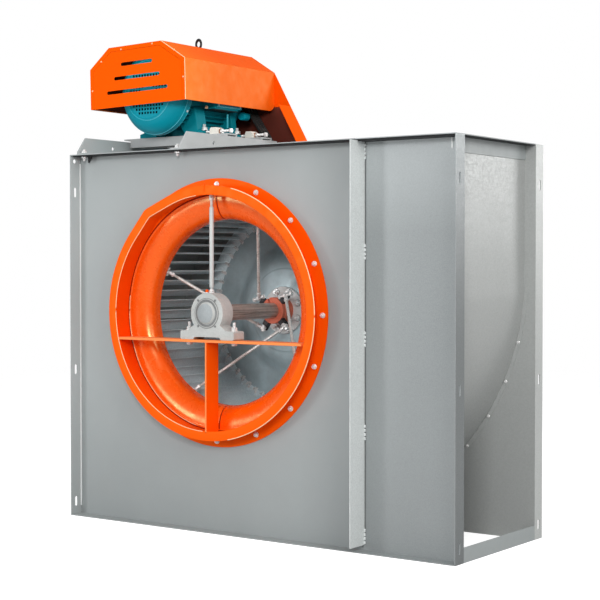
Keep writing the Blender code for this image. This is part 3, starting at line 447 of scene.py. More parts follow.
class Paint:
    """A Principled material with its colour, roughness and surface driven by procedural noise."""

    def __init__(self, name, roughness=0.5, metallic=0.0, **sockets):
        self.material = bpy.data.materials.new(name)
        self.material.use_nodes = True
        self.nodes = self.material.node_tree.nodes
        self.links = self.material.node_tree.links
        self.shader = self.nodes["Principled BSDF"]
        self.shader.inputs["Roughness"].default_value = roughness
        self.shader.inputs["Metallic"].default_value = metallic
        for socket, value in sockets.items():
            self.shader.inputs[socket.replace("_", " ")].default_value = value
        coordinates = self.nodes.new("ShaderNodeTexCoord")
        self.place, self.facing = coordinates.outputs["Object"], coordinates.outputs["Normal"]
        self.height = None

    def scaled(self, scale):
        mapping = self.nodes.new("ShaderNodeMapping")
        mapping.inputs["Scale"].default_value = scale
        self.links.new(self.place, mapping.inputs["Vector"])
        return mapping.outputs["Vector"]

    def noise(self, scale, detail=4.0, roughness=0.55, stretch=(1, 1, 1)):
        node = self.nodes.new("ShaderNodeTexNoise")
        node.inputs["Scale"].default_value = scale
        node.inputs["Detail"].default_value = detail
        node.inputs["Roughness"].default_value = roughness
        node.inputs["Distortion"].default_value = 0.0
        self.links.new(self.scaled(stretch), node.inputs["Vector"])
        return node.outputs["Fac"]

    def cells(self, scale, output="Distance"):
        node = self.nodes.new("ShaderNodeTexVoronoi")
        node.inputs["Scale"].default_value = scale
        node.inputs["Randomness"].default_value = 1.0
        self.links.new(self.scaled((1, 1, 1)), node.inputs["Vector"])
        return node.outputs[output]

    def remap(self, value, low, high, to_low=0.0, to_high=1.0):
        node = self.nodes.new("ShaderNodeMapRange")
        for name, number in zip(("From Min", "From Max", "To Min", "To Max"), (low, high, to_low, to_high)):
            node.inputs[name].default_value = number
        self.links.new(value, node.inputs["Value"])
        return node.outputs["Result"]

    def ramp(self, value, stops):
        node = self.nodes.new("ShaderNodeValToRGB")
        ramp = node.color_ramp
        while len(ramp.elements) < len(stops):
            ramp.elements.new(0.5)
        for element, (position, colour) in zip(ramp.elements, stops):
            element.position = position
            element.color = (*colour, 1.0)
        self.links.new(value, node.inputs["Fac"])
        return node.outputs["Color"]

    def mix(self, factor, first, second, blend="MIX"):
        node = self.nodes.new("ShaderNodeMix")
        node.data_type = "RGBA"
        node.blend_type = blend
        for socket, value in ((node.inputs[0], factor), (node.inputs[6], first), (node.inputs[7], second)):
            if isinstance(value, bpy.types.NodeSocket):
                self.links.new(value, socket)
            elif isinstance(value, (int, float)):
                socket.default_value = value
            else:
                socket.default_value = (*value, 1.0)
        return node.outputs[2]

    def fade(self, base, axis, start, end, factor, source=None):
        """Multiplies a colour by a factor that comes in along an axis, or as the surface turns to face it."""
        parts = self.nodes.new("ShaderNodeSeparateXYZ")
        self.links.new(source or self.place, parts.inputs["Vector"])
        if source is None:
            start, end = (value + SHIFT["XYZ".index(axis)] for value in (start, end))
        factor = factor if isinstance(factor, tuple) else (factor,) * 3
        return self.mix(self.remap(parts.outputs[axis], start, end), base, factor, "MULTIPLY")

    def colour(self, source):
        self.links.new(source, self.shader.inputs["Base Color"])
        return self

    def rough(self, value, low, high):
        self.links.new(self.remap(value, 0.3, 0.7, low, high), self.shader.inputs["Roughness"])
        return self

    def bump(self, value, strength, distance=0.001):
        node = self.nodes.new("ShaderNodeBump")
        node.inputs["Strength"].default_value = strength
        node.inputs["Distance"].default_value = distance
        self.links.new(value, node.inputs["Height"])
        if self.height is not None:
            self.links.new(self.height, node.inputs["Normal"])
        self.height = node.outputs["Normal"]
        self.links.new(self.height, self.shader.inputs["Normal"])
        return self


def shade(colour, factor):
    return tuple(min(1.0, channel * factor) for channel in colour)


def painted_light_fades(paint, base, fades, side):
    """Painted light and shade: slow changes of tone along the casing where the light falls off, and a lighter
    or darker tone painted on faces turned towards the outlet's end.
    """
    for axis, start, end, factor in fades:
        base = paint.fade(base, axis, start, end, factor)
    return base if side is None else paint.fade(base, "X", 0.55, 0.90, side, paint.facing)


def enamel(
    name, colour, roughness, dust=(0.45, 0.43, 0.40), dirt=0.10, peel=0.12, gloss=0.5, spread=0.10, fades=(),
    side=None, tint=(1, 1, 1)
):
    """Sprayed paint: clouded colour, a faint orange peel, and dust in drifts."""
    paint = Paint(name, roughness, 0.0, Specular_IOR_Level=gloss, Specular_Tint=(*tint, 1.0))
    cloud = paint.noise(2.2, 5.0, 0.6)
    base = paint.ramp(cloud, [(0.30, shade(colour, 1 - spread)), (0.70, shade(colour, 1 + spread))])
    fine = paint.noise(900.0, 2.0)
    base = paint.mix(paint.remap(fine, 0.35, 0.75, 0.0, 0.10), base, shade(colour, 0.6))
    drift = paint.remap(paint.noise(7.0, 8.0, 0.7), 0.52, 0.80, 0.0, dirt)
    base = paint.mix(drift, base, dust)
    specks = paint.remap(paint.cells(170.0), 0.0, 0.09, 0.5, 0.0)
    base = paint.mix(specks, base, shade(colour, 0.45))
    # The fades and the side factor paint light and shade into the colour.
    paint.colour(painted_light_fades(paint, base, fades, side))
    paint.rough(paint.noise(30.0, 4.0), roughness - 0.07, roughness + 0.09)
    paint.bump(paint.noise(420.0, 2.0), peel, 0.0004)
    return paint.bump(paint.noise(3.0, 1.0), 0.10, 0.004).material


def galvanised(
    name, colour, metallic=0.35, roughness=0.42, flake=260.0, contrast=0.16, grit_mix=0.32, fades=(),
    side=None
):
    """Zinc-coated sheet: a fine broken spangle in colour, gloss and height."""
    paint = Paint(name, roughness, metallic)
    flakes = paint.cells(flake, "Color")
    grain = paint.nodes.new("ShaderNodeSeparateColor")
    paint.links.new(flakes, grain.inputs["Color"])
    small = paint.remap(grain.outputs["Red"], 0.0, 1.0, 0.0, 1.0)
    base = paint.ramp(small, [(0.0, shade(colour, 1 - contrast)), (1.0, shade(colour, 1 + contrast))])
    grit = paint.noise(620.0, 3.0, 0.7)
    base = paint.mix(paint.remap(grit, 0.42, 0.70, 0.0, grit_mix), base, shade(colour, 0.62))
    cloud = paint.remap(paint.noise(1.8, 4.0), 0.35, 0.70, 0.0, 0.22)
    base = paint.mix(cloud, base, shade(colour, 1.25))
    # The fades and the side factor paint light and shade into the colour.
    paint.colour(painted_light_fades(paint, base, fades, side))
    paint.rough(grain.outputs["Green"], roughness - 0.10, roughness + 0.12)
    paint.bump(grit, 0.10, 0.0004)
    return paint.bump(paint.noise(2.5, 1.0), 0.08, 0.004).material


def bare_metal(
    name, colour, roughness, stretch=(1, 1, 1), scale=60.0, stain=(0.10, 0.06, 0.04), stained=0.0,
    metallic=1.0, contrast=(0.72, 1.2)
):
    """Bare or plated metal with a drawn grain, smears and stains."""
    paint = Paint(name, roughness, metallic)
    grain = paint.noise(scale, 6.0, 0.65, stretch)
    base = paint.ramp(grain, [(0.30, shade(colour, contrast[0])), (0.70, shade(colour, contrast[1]))])
    blot = paint.remap(paint.noise(14.0, 6.0, 0.65), 0.45, 0.72, 0.0, 1.0)
    base = paint.mix(paint.remap(blot, 0.0, 1.0, 0.0, stained), base, stain)
    paint.colour(base)
    paint.rough(paint.noise(45.0, 5.0, 0.6, stretch), roughness - 0.10, roughness + 0.14)
    return paint.bump(grain, 0.1, 0.0005).material


def casting(name, colour, roughness=0.55, grain=0.35, metallic=0.0):
    """Painted sand casting: a coarse skin under the paint."""
    paint = Paint(name, roughness, metallic)
    coarse = paint.noise(160.0, 4.0, 0.6)
    base = paint.ramp(paint.noise(9.0, 6.0, 0.65), [(0.30, shade(colour, 0.85)), (0.70, shade(colour, 1.13))])
    base = paint.mix(paint.remap(coarse, 0.40, 0.75, 0.0, 0.25), base, shade(colour, 0.55))
    paint.colour(base)
    paint.rough(coarse, roughness - 0.08, roughness + 0.12)
    paint.bump(coarse, grain, 0.0010)
    return paint.bump(paint.noise(40.0, 3.0), 0.15, 0.002).material


def rubber(name):
    paint = Paint(name, 0.75)
    fibre = paint.noise(500.0, 3.0, 0.7, (1, 4, 1))
    base = paint.ramp(fibre, [(0.35, (0.012, 0.012, 0.013)), (0.75, (0.060, 0.058, 0.055))])
    dusty = paint.remap(paint.noise(22.0, 6.0), 0.5, 0.8, 0.0, 0.30)
    paint.colour(paint.mix(dusty, base, (0.20, 0.19, 0.18)))
    paint.rough(fibre, 0.62, 0.85)
    return paint.bump(fibre, 0.35, 0.0006).material


GREY = (0.370, 0.398, 0.399)
ZINC_GREY = (0.320, 0.343, 0.347)
ORANGE_COLOUR = (0.97, 0.100, 0.001)
TEAL = (0.001, 0.30, 0.39)
WARM = (1.0, 0.85, 0.10)
# Painted light and shade: the casing's grey darker towards its right end and towards the bottom; the outlet
# plate's zinc lighter near the top and darker towards the bottom.
CASE_PAINTED_LIGHT = (("X", 0.98, 1.20, 0.80), ("Z", 0.50, 0.02, 0.84))
OUTLET_PAINTED_LIGHT = (("Z", 1.00, 1.28, 1.42), ("Z", 0.35, 0.05, 0.92))

SKIN = {
    # Painted light: the casing's grey is lighter on faces turned towards the outlet's end.
    "casing": enamel(
        "casing_enamel", GREY, 0.50, dirt=0.10, peel=0.10, gloss=0.3, spread=0.05, fades=CASE_PAINTED_LIGHT,
        side=(1.22, 1.22, 1.22)
    ),
    "strip": enamel("strip_enamel", shade(GREY, 0.92), 0.50, dirt=0.10, gloss=0.3, spread=0.05),
    # Painted shade: the outlet plate's zinc is darker on faces turned towards the outlet's end, such as its
    # right flange.
    "outlet": galvanised(
        "outlet_plate_zinc", ZINC_GREY, metallic=0.25, flake=640.0, contrast=0.09, grit_mix=0.22,
        fades=OUTLET_PAINTED_LIGHT, side=0.62
    ),
    "scroll": galvanised(
        "scroll_zinc", (0.415, 0.428, 0.42), metallic=0.20, roughness=0.45, contrast=0.05, grit_mix=0.2
    ),
    # Painted light: the back plate's zinc is lighter on faces turned towards the outlet's end.
    "back": galvanised(
        "back_plate_zinc", (0.405, 0.418, 0.41), metallic=0.20, roughness=0.45, contrast=0.05, grit_mix=0.2,
        side=1.25
    ),
    "angle": galvanised("joint_zinc", (0.67, 0.70, 0.695), metallic=0.10, contrast=0.08, grit_mix=0.25),
    # Painted shade: the inlet's orange is darker and redder on faces turned towards the outlet's end, such as
    # the collar's outer wall on the right.
    "orange": enamel(
        "inlet_orange", ORANGE_COLOUR, 0.36, (0.42, 0.08, 0.02), 0.10, 0.14, gloss=0.25, spread=0.04,
        side=(0.98, 0.58, 0.3), tint=WARM
    ),
    # Painted sheen: a paler copy of the orange, for the crossbar and the post's front edge as they catch the
    # light.
    "bar": enamel(
        "orange_painted_sheen", (0.98, 0.27, 0.085), 0.40, (0.60, 0.20, 0.06), 0.10, 0.14, gloss=0.30, spread=0.05,
        tint=WARM
    ),
    # Painted highlight: a pale orange for lines along bends and edges where they catch the light.
    "edge": enamel(
        "orange_painted_highlight", (1.0, 0.62, 0.36), 0.30, (0.90, 0.40, 0.20), 0.15, 0.10, gloss=0.6, spread=0.05
    ),
    "cover": enamel(
        "cover_orange", ORANGE_COLOUR, 0.42, (0.45, 0.10, 0.02), 0.08, 0.12, gloss=0.05, spread=0.03,
        tint=WARM
    ),
    "bell": enamel(
        "bell_orange", ORANGE_COLOUR, 0.26, (0.42, 0.08, 0.02), 0.08, 0.06, gloss=1.0, spread=0.03,
        tint=(1.0, 1.0, 0.45)
    ),
    # Painted sheen: the hood's orange turns paler towards its front end and on faces turned towards the
    # outlet's end.
    "wrapper": enamel(
        "hood_orange", ORANGE_COLOUR, 0.52, (0.45, 0.10, 0.02), 0.06, 0.12, gloss=0.55, spread=0.03,
        tint=(1.0, 1.0, 0.25), fades=(("Y", 0.30, 0.02, (1.0, 1.55, 4.5)),), side=(1.0, 1.25, 2.6)
    ),
    "screw": enamel("screw_paint", (0.90, 0.50, 0.26), 0.40, (0.60, 0.30, 0.15), 0.10),
    # Painted shade: a dark red-brown for the shade inside the hood and the belt guard.
    "inside": enamel("cover_painted_shade", (0.12, 0.018, 0.008), 0.60, (0.16, 0.08, 0.06), 0.35),
    # Painted shade: a dark red for the shade in the collar's joint and the bell's seam grooves.
    "gap": enamel("joint_shadow", (0.26, 0.006, 0.002), 0.60, (0.14, 0.01, 0.004), 0.20, gloss=0.1),
    "support": enamel("base_enamel", (0.45, 0.465, 0.465), 0.48, dirt=0.12, spread=0.05),
    "cast": casting("bearing_cast", (0.50, 0.515, 0.50), 0.50, 0.30),
    "cap": casting("bearing_cap_skin", (0.36, 0.39, 0.40), 0.45, 0.15),
    # Painted shade: a dark grey for the shade in the bearing cap's recesses.
    "recess": casting("bearing_recess_painted_shade", (0.20, 0.205, 0.205), 0.55, 0.20),
    "pipe": enamel("grease_pipe", (0.56, 0.60, 0.59), 0.42, dirt=0.15, spread=0.08),
    "shaft": bare_metal(
        "shaft_steel", (0.40, 0.33, 0.29), 0.30, (1, 0.03, 1), 75.0, (0.20, 0.125, 0.08), 0.5, 0.30,
        contrast=(0.40, 2.1)
    ),
    "impeller": galvanised(
        "impeller_zinc", (0.78, 0.88, 0.91), metallic=0.20, roughness=0.40, flake=330.0, contrast=0.10
    ),
    "disc": bare_metal(
        "disc_zinc", (0.43, 0.535, 0.565), 0.40, (1, 1, 1), 8.0, (0.36, 0.39, 0.41), 0.25, 0.15
    ),
    "primer": casting("hub_primer", (0.62, 0.150, 0.085), 0.60, 0.30),
    "flange": casting("hub_flange_skin", (0.70, 0.71, 0.70), 0.5, 0.2, 0.1),
    "zinc": bare_metal(
        "bright_zinc", (0.90, 0.90, 0.88), 0.28, (1, 1, 1), 180.0, (0.34, 0.28, 0.22), 0.20, 0.30
    ),
    "rod": bare_metal("rod_zinc", (0.78, 0.77, 0.74), 0.32, (1, 1, 1), 140.0, (0.34, 0.26, 0.20), 0.40, 0.25),
    "black": bare_metal(
        "black_phosphate", (0.022, 0.022, 0.026), 0.45, (1, 1, 1), 150.0, (0.02, 0.02, 0.02), 0.3, 0.3
    ),
    "iron": casting("pulley_iron", (0.07, 0.07, 0.075), 0.50, 0.25, 0.5),
    "rubber": rubber("belt_rubber"),
    "teal": enamel("motor_teal", TEAL, 0.36, (0.02, 0.30, 0.36), 0.14, 0.20, gloss=0.22, spread=0.10),
    # Painted shade: a darker copy of the motor's teal for its frame, fins, feet and terminal box in the
    # hood's shade.
    "teal_dark": enamel(
        "motor_teal_painted_shade", (0.001, 0.23, 0.285), 0.46, (0.02, 0.22, 0.26), 0.14, 0.20, gloss=0.10,
        spread=0.12
    ),
    # Painted highlight: a paler copy of the motor's teal for the cowl's ring beads and the frame's rib.
    "teal_light": enamel(
        "motor_teal_painted_highlight", (0.03, 0.45, 0.55), 0.32, (0.05, 0.40, 0.48), 0.10, 0.10, gloss=0.4, spread=0.08
    ),
    "white": enamel("block_white", (0.84, 0.81, 0.74), 0.45, (0.50, 0.34, 0.22), 0.30),
    "rust": casting("rusty_bore", (0.42, 0.16, 0.07), 0.65, 0.4),
    # Dark sealant for the terminal box's gasket, and painted shade under the casing's top flanges.
    "seal": enamel("dark_sealant_and_painted_shade", (0.020, 0.021, 0.022), 0.60, (0.08, 0.08, 0.08), 0.20, gloss=0.2),
    # Painted shade: a dark grey for the shade lines on both sides of the joint flange.
    "line": enamel("grey_painted_shade", (0.135, 0.145, 0.145), 0.60, (0.20, 0.20, 0.20), 0.20, gloss=0.2),
    # Pale sealant for the outlet plate's bead, and a painted highlight along the left flange's fold.
    "bead": enamel(
        "light_sealant_and_painted_highlight", (0.86, 0.88, 0.87), 0.45, (0.60, 0.60, 0.58), 0.20, gloss=0.4, spread=0.04
    ),
}


# ---------------------------------------------------------------------------------------------
# Casing
# ---------------------------------------------------------------------------------------------


def lies_on(edge, axis, value):
    return all(abs(vertex.co[axis] - value) < 1e-6 for vertex in edge.verts)


def folded_plate(name, low_x, high_x, y, outwards, ends, holes):
    """A side plate with flanges folded outwards along its top, its bottom and the ends named."""
    left = low_x + SHEET if "left" in ends else low_x
    right = high_x - SHEET if "right" in ends else high_x
    bottom, top = SHEET, CASE_HEIGHT - SHEET
    mesh = filled([rectangle(left, bottom, right, top), *holes])
    lines = [(1, bottom), (1, top)]
    lines += [(0, left)] if "left" in ends else []
    lines += [(0, right)] if "right" in ends else []
    edges = [edge for edge in mesh.edges if any(lies_on(edge, axis, value) for axis, value in lines)]
    made = bmesh.ops.extrude_edge_only(mesh, edges=edges)["geom"]
    raised = [item for item in made if isinstance(item, bmesh.types.BMVert)]
    bmesh.ops.translate(mesh, verts=raised, vec=(0.0, 0.0, -outwards * FLANGE))
    bmesh.ops.recalc_face_normals(mesh, faces=mesh.faces)
    if any(face.normal.z * outwards > 0.5 for face in mesh.faces):
        bmesh.ops.reverse_faces(mesh, faces=mesh.faces)
    obj = as_object(name, mesh)
    obj.data.transform(Matrix.Translation((0.0, y, 0.0)) @ PLANES["XZ"])
    solidify(obj, SHEET)
    near, far = sorted((y, y + outwards * FLANGE))
    slots = []
    for end in ends:
        edge = low_x if end == "left" else high_x
        for height in SLOT_HEIGHTS:
            slots.append(cutter(obround((near + far) / 2, height, *SLOT_SIZE), "YZ", edge))
    return carve(obj, *slots)


def side_plates():
    hole = circle(FAN, INLET_RADIUS + 0.002, 120)
    front = folded_plate("front_plate_folded", 0.0, JOINT_X - 0.0003, 0.0, -1, ["left"], [hole])
    carve(front, cutter(circle((-0.0285, 1.2775), 0.0075, 24), "YZ", 0.0))
    finish_piece(front, "casing", "painted_casing", "casing", 0.0016, 3, 50, ["front_side_plate"])
    outlet = folded_plate("outlet_plate_folded", JOINT_X, CASE_WIDTH, 0.0, -1, ["right"], [])
    finish_piece(outlet, "casing", "galvanised_casing", "outlet", 0.0016, 3, 50, ["front_outlet_plate"])
    hole = circle(FAN, SHAFT_HOLE, 48)
    back = folded_plate("back_plate_folded", 0.0, CASE_WIDTH, CASE_DEPTH, 1, ["left", "right"], [hole])
    finish_piece(back, "casing", "galvanised_casing", "back", 0.0016, 3, 50, ["back_side_plate"])


def joint_flange():
    """The bar along the joint of the two front plates, its stitch welds, and dark grey strips on both sides
    of it that paint its shade.
    """
    low, high = box_of("joint_flange")
    bar = Shape().box((low.x, low.y, 0.018), (high.x, high.y, high.z - 0.003))
    bar.finish("joint_flange_bar", "casing", "galvanised_casing", "angle", 0.0008, 2, 35, ["joint_flange"])
    welds = Shape()
    for index, height in enumerate((0.045, 0.375, 0.670, 0.945, 1.262)):
        for part in range(4):
            middle = height + (part - 1.5) * 0.013
            start = Vector((high.x + 0.0018, -0.0030, middle - 0.0055))
            welds.weld([start, start + UP * 0.011], 0.0034, 5 * index + part)
    welds.finish("joint_stitch_welds", "casing", "galvanised_casing", "angle", angle=60)
    # Dark grey strips on both sides of the bar paint its shade.
    lines = Shape()
    lines.box((high.x + 0.0002, -0.0018, 0.056), (high.x + 0.0042, -0.0002, high.z - 0.002))
    lines.box((low.x - 0.0066, -0.0018, 0.010), (low.x - 0.0016, -0.0002, high.z - 0.002))
    lines.finish("joint_flange_painted_shade", "casing", "galvanised_casing", "line", 0.0004, 2, 35)


def flange_shade_and_beads():
    """Dark strips under the top flanges that paint the shade there, with a small dark triangle under the
    front one, a pale bead on the outlet plate, and a pale strip along the left flange's fold that paints its
    highlight.
    """
    joint_x = box_of("joint_flange")[1].x
    top = CASE_HEIGHT - SHEET
    mark = Shape().weld([(1.5485, -0.0004, 1.257), (1.5485, -0.0004, 1.293)], 0.0026, 77)
    mark.finish("outlet_plate_bead", "casing", "galvanised_casing", "bead", angle=60)
    # Dark strips under the top flanges paint the shade there.
    seams = Shape()
    seams.box((0.012, -FLANGE + 0.004, top - 0.0042), (JOINT_X - 0.004, -0.0002, top - 0.0002))
    seams.box((joint_x + 0.004, -FLANGE + 0.002, top - 0.0062), (CASE_WIDTH - 0.006, -0.0002, top - 0.0002))
    seams.box(
        (CASE_WIDTH - 0.036, 0.0045, top - 0.0022), (CASE_WIDTH - 0.002, CASE_DEPTH - 0.0045, top - 0.0002)
    )
    blob = [(0.0, 0.0), (0.0, -0.026), (0.006, -0.026), (0.024, 0.0)]
    seams.prism(blob, (0.060, -0.0160, top - 0.0002), RIGHT, UP, 0.003)
    seams.finish("casing_flange_painted_shade", "casing", "galvanised_casing", "seal", 0.0004, 2, 35)
    # A pale strip along the left flange's fold paints the highlight it catches.
    bead = Shape().box((0.0034, -0.0045, 0.030), (0.0072, -0.0002, CASE_HEIGHT - 0.030))
    bead.finish("flange_fold_painted_highlight", "casing", "painted_casing", "bead", 0.0010, 2, 35)


def bottom_strips():
    for side in ("left", "right"):
        name = f"bottom_strip_{side}"
        strip = Shape().box(*box_of(name))
        strip.finish(f"{name}_sheet", "casing", "painted_casing", "strip", 0.0008, 2, 35, [name])


def outlet_flanges():
    for side, inwards in (("left", -1), ("right", 1)):
        name = f"outlet_flange_{side}"
        low, high = box_of(name)
        duct_x, edge_x = (high.x, low.x) if side == "left" else (low.x, high.x)
        inner_x = duct_x + inwards * SHEET
        outline = [(duct_x, low.z), (inner_x, low.z), (inner_x, high.z - SHEET)]
        outline += [(edge_x, high.z - SHEET), (edge_x, high.z), (duct_x, high.z)]
        angle = flat(f"{name}_angle", [outline], "XZ", low.y, high.y)
        slot_x = (duct_x + edge_x) / 2 + inwards * 0.002
        carve(angle, *[cutter(obround(slot_x, y, *SLOT_SIZE), "XY", high.z) for y in (0.090, 0.2395, 0.389)])
        finish_piece(angle, "casing", "painted_casing", "strip", 0.0008, 2, 35, [name])


def scroll_point(angle, extra=0.0):
    radius = SCROLL_RADIUS * math.exp(SCROLL_GROWTH * angle) + extra
    return FAN_X + radius * math.cos(angle), FAN_Z + radius * math.sin(angle)


def scroll_line(extra, first=TONGUE_ANGLE):
    steps = 150
    angles = [first + (OUTLET_ANGLE - first) * i / steps for i in range(steps + 1)]
    return [scroll_point(angle, extra) for angle in angles]


def edge_strip(shape, start, side):
    """A thin strip that follows the scroll sheet's edge, on a side plate."""
    first_angle = TONGUE_ANGLE + 0.1
    near, far = scroll_line(SHEET + 0.0004, first_angle), scroll_line(SHEET + STRIP_WIDTH, first_angle)
    end = start + side * STRIP_THICKNESS
    rings = []
    for (ax, az), (bx, bz) in zip(near, far):
        section = ((ax, start, az), (bx, start, bz), (bx, end, bz), (ax, end, az))
        rings.append([shape.mesh.verts.new(point) for point in section])
    for first, second in zip(rings, rings[1:]):
        for i in range(4):
            after = (i + 1) % 4
            shape.mesh.faces.new((first[i], first[after], second[after], second[i]))
    shape.mesh.faces.new(rings[0])
    shape.mesh.faces.new(rings[-1][::-1])


def strip_screws(shape, start, side):
    for index in range(31):
        angle = OUTLET_ANGLE - math.radians(10.4 + 8.9 * index)
        x, z = scroll_point(angle, SHEET + STRIP_WIDTH * 0.55)
        shape.washer((x, start + side * STRIP_THICKNESS, z), (0, side, 0), 0.0055, 0.0008)
        shape.hexagon((x, start + side * 0.0024, z), (0, side, 0), 0.008, 0.004, index)


def scroll():
    low, high = box_of("scroll_sheet")
    inner, outer = scroll_line(0.0), scroll_line(SHEET)
    outline = [*inner, (inner[-1][0], high.z), (outer[-1][0], high.z), *reversed(outer)]
    sheet = flat("scroll_wrap", [outline], "XZ", low.y, high.y)
    finish_piece(sheet, "casing", "galvanised_casing", "scroll", nodes=["scroll_sheet"])
    strips, screws = Shape(), Shape()
    for y, side in ((CASE_DEPTH - SHEET, -1), (SHEET, 1)):
        start = y + side * 0.0003
        edge_strip(strips, start, side)
        strip_screws(screws, start, side)
    strips.finish("scroll_edge_strips", "casing", "galvanised_casing", "scroll")
    screws.finish("scroll_screws", "casing", "galvanised_casing", "zinc", angle=30)


# ---------------------------------------------------------------------------------------------
# Inlet
# ---------------------------------------------------------------------------------------------


def add_corner(obj, wanted=lambda radius: True):
    """Pulls circles out to the corner of their two tangents, where the rolled strip's ends meet."""
    for vertex in obj.data.vertices:
        across, up = vertex.co.x - FAN_X, vertex.co.z - FAN_Z
        away = CORNER_SPREAD - abs(math.atan2(up, across) - CORNER_ANGLE)
        if away > 0 and wanted(math.hypot(across, up)):
            stretch = 1 / math.cos(away)
            vertex.co.x = FAN_X + across * stretch
            vertex.co.z = FAN_Z + up * stretch
    return obj


def inlet_ring():
    section = rectangle(WALL_RADIUS + 0.0004, 0.0004, PLATE_RING_RADIUS, SHEET)
    ring = revolved("inlet_ring_plate", section, FAN_AXIS, FORWARD, INLET_STEPS)
    add_corner(ring, lambda radius: radius < WALL_RADIUS + 0.01)
    finish_piece(ring, "casing", "orange_inlet", "orange", 0.0008, 2, 35, ["inlet_plate_ring"])


def inlet_collar():
    """The rolled collar: a straight wall, bent out into a narrow lip at its front."""
    front, bend, soft = COLLAR_LENGTH, 0.003, 0.0006
    section = [(INLET_RADIUS, 0.0004), (INLET_RADIUS, front - bend)]
    for angle in (0.4, 0.8, 1.2, 1.5708):
        radius = INLET_RADIUS + bend - bend * math.cos(angle)
        section.append((radius, front - bend + bend * math.sin(angle)))
    section += [(LIP_RADIUS - soft, front), (LIP_RADIUS, front - soft), (LIP_RADIUS, front - SHEET + soft)]
    section += [(LIP_RADIUS - soft, front - SHEET), (WALL_RADIUS, front - SHEET), (WALL_RADIUS, 0.0004)]
    collar = revolved("inlet_collar_rolled", section, FAN_AXIS, FORWARD, INLET_STEPS)
    add_corner(collar)
    squash(collar)
    finish_piece(collar, "casing", "orange_inlet", "orange", nodes=["inlet_collar"])


def collar_root():
    """A thin fillet inside the collar where it meets the bell, and a dark ring beside it that paints the
    shade in the joint.
    """
    section = rectangle(INLET_RADIUS - 0.0012, 0.0004, INLET_RADIUS - 0.0003, 0.0014)
    filler = revolved("collar_root_fillet", section, FAN_AXIS, FORWARD, INLET_STEPS)
    add_corner(filler, lambda radius: radius > INLET_RADIUS - 0.0006)
    finish_piece(filler, "casing", "orange_inlet", "orange")
    section = rectangle(INLET_RADIUS - 0.0058, 0.0003, INLET_RADIUS - 0.0013, 0.0012)
    shade_ring = revolved("collar_root_shade", section, FAN_AXIS, FORWARD, INLET_STEPS)
    finish_piece(shade_ring, "casing", "orange_inlet", "gap")


def lip_painted_highlights():
    """Painted highlights on the lip: pale lines along its inner bend on the left and its outer edge on the
    right.
    """
    for name, radius, thick, first, last in (
        ("lip_bend_painted_highlight", INLET_RADIUS + 0.0014, 0.0013, 96.0, 268.0),
        ("lip_edge_painted_highlight", LIP_RADIUS - 0.0008, 0.0017, -78.0, 76.0),
    ):
        y = -(COLLAR_LENGTH - 0.0009)
        line = [polar_point(radius, first + (last - first) * i / 90, y) for i in range(91)]
        edge = Shape().tube(line, thick, 8).object(name)
        add_corner(edge)
        squash(edge)
        finish_piece(edge, "casing", "orange_inlet", "edge", angle=60)


def inlet_fixings():
    """The collar's weld seam, and the bolts round the ring plate."""
    front = -COLLAR_LENGTH
    seam = Shape()
    seam.weld(
        [polar_point(INLET_RADIUS + 0.003, 91.0, front), polar_point(LIP_RADIUS - 0.001, 90.4, front)],
        0.0016, 3
    )
    seam.finish("inlet_weld_seams", "casing", "orange_inlet", "orange", angle=60)
    bolts = Shape()
    for index in range(16):
        at = polar_point(0.435, 22.5 * index, -SHEET - 0.0002)
        bolts.bolt(at, FORWARD, 0.0085, index * 0.7, stud=0.003)
    bolts.finish("inlet_ring_bolts", "casing", "orange_inlet", "zinc", angle=30)


def inlet():
    inlet_ring()
    inlet_collar()
    collar_root()
    lip_painted_highlights()
    bell()
    inlet_fixings()


def squash(obj):
    """The rolled collar is a little out of round towards its lip."""
    for vertex in obj.data.vertices:
        out = min(1.0, max(0.0, -vertex.co.y / COLLAR_LENGTH))
        vertex.co.z = FAN_Z + (vertex.co.z - FAN_Z) * (1 - 0.020 * out)
        if vertex.co.x > FAN_X:
            vertex.co.x = FAN_X + (vertex.co.x - FAN_X) * (1 + 0.018 * out)
    return obj


def polar_point(radius, degrees, y):
    x, z = polar(radius, degrees)
    return Vector((x, y, z))


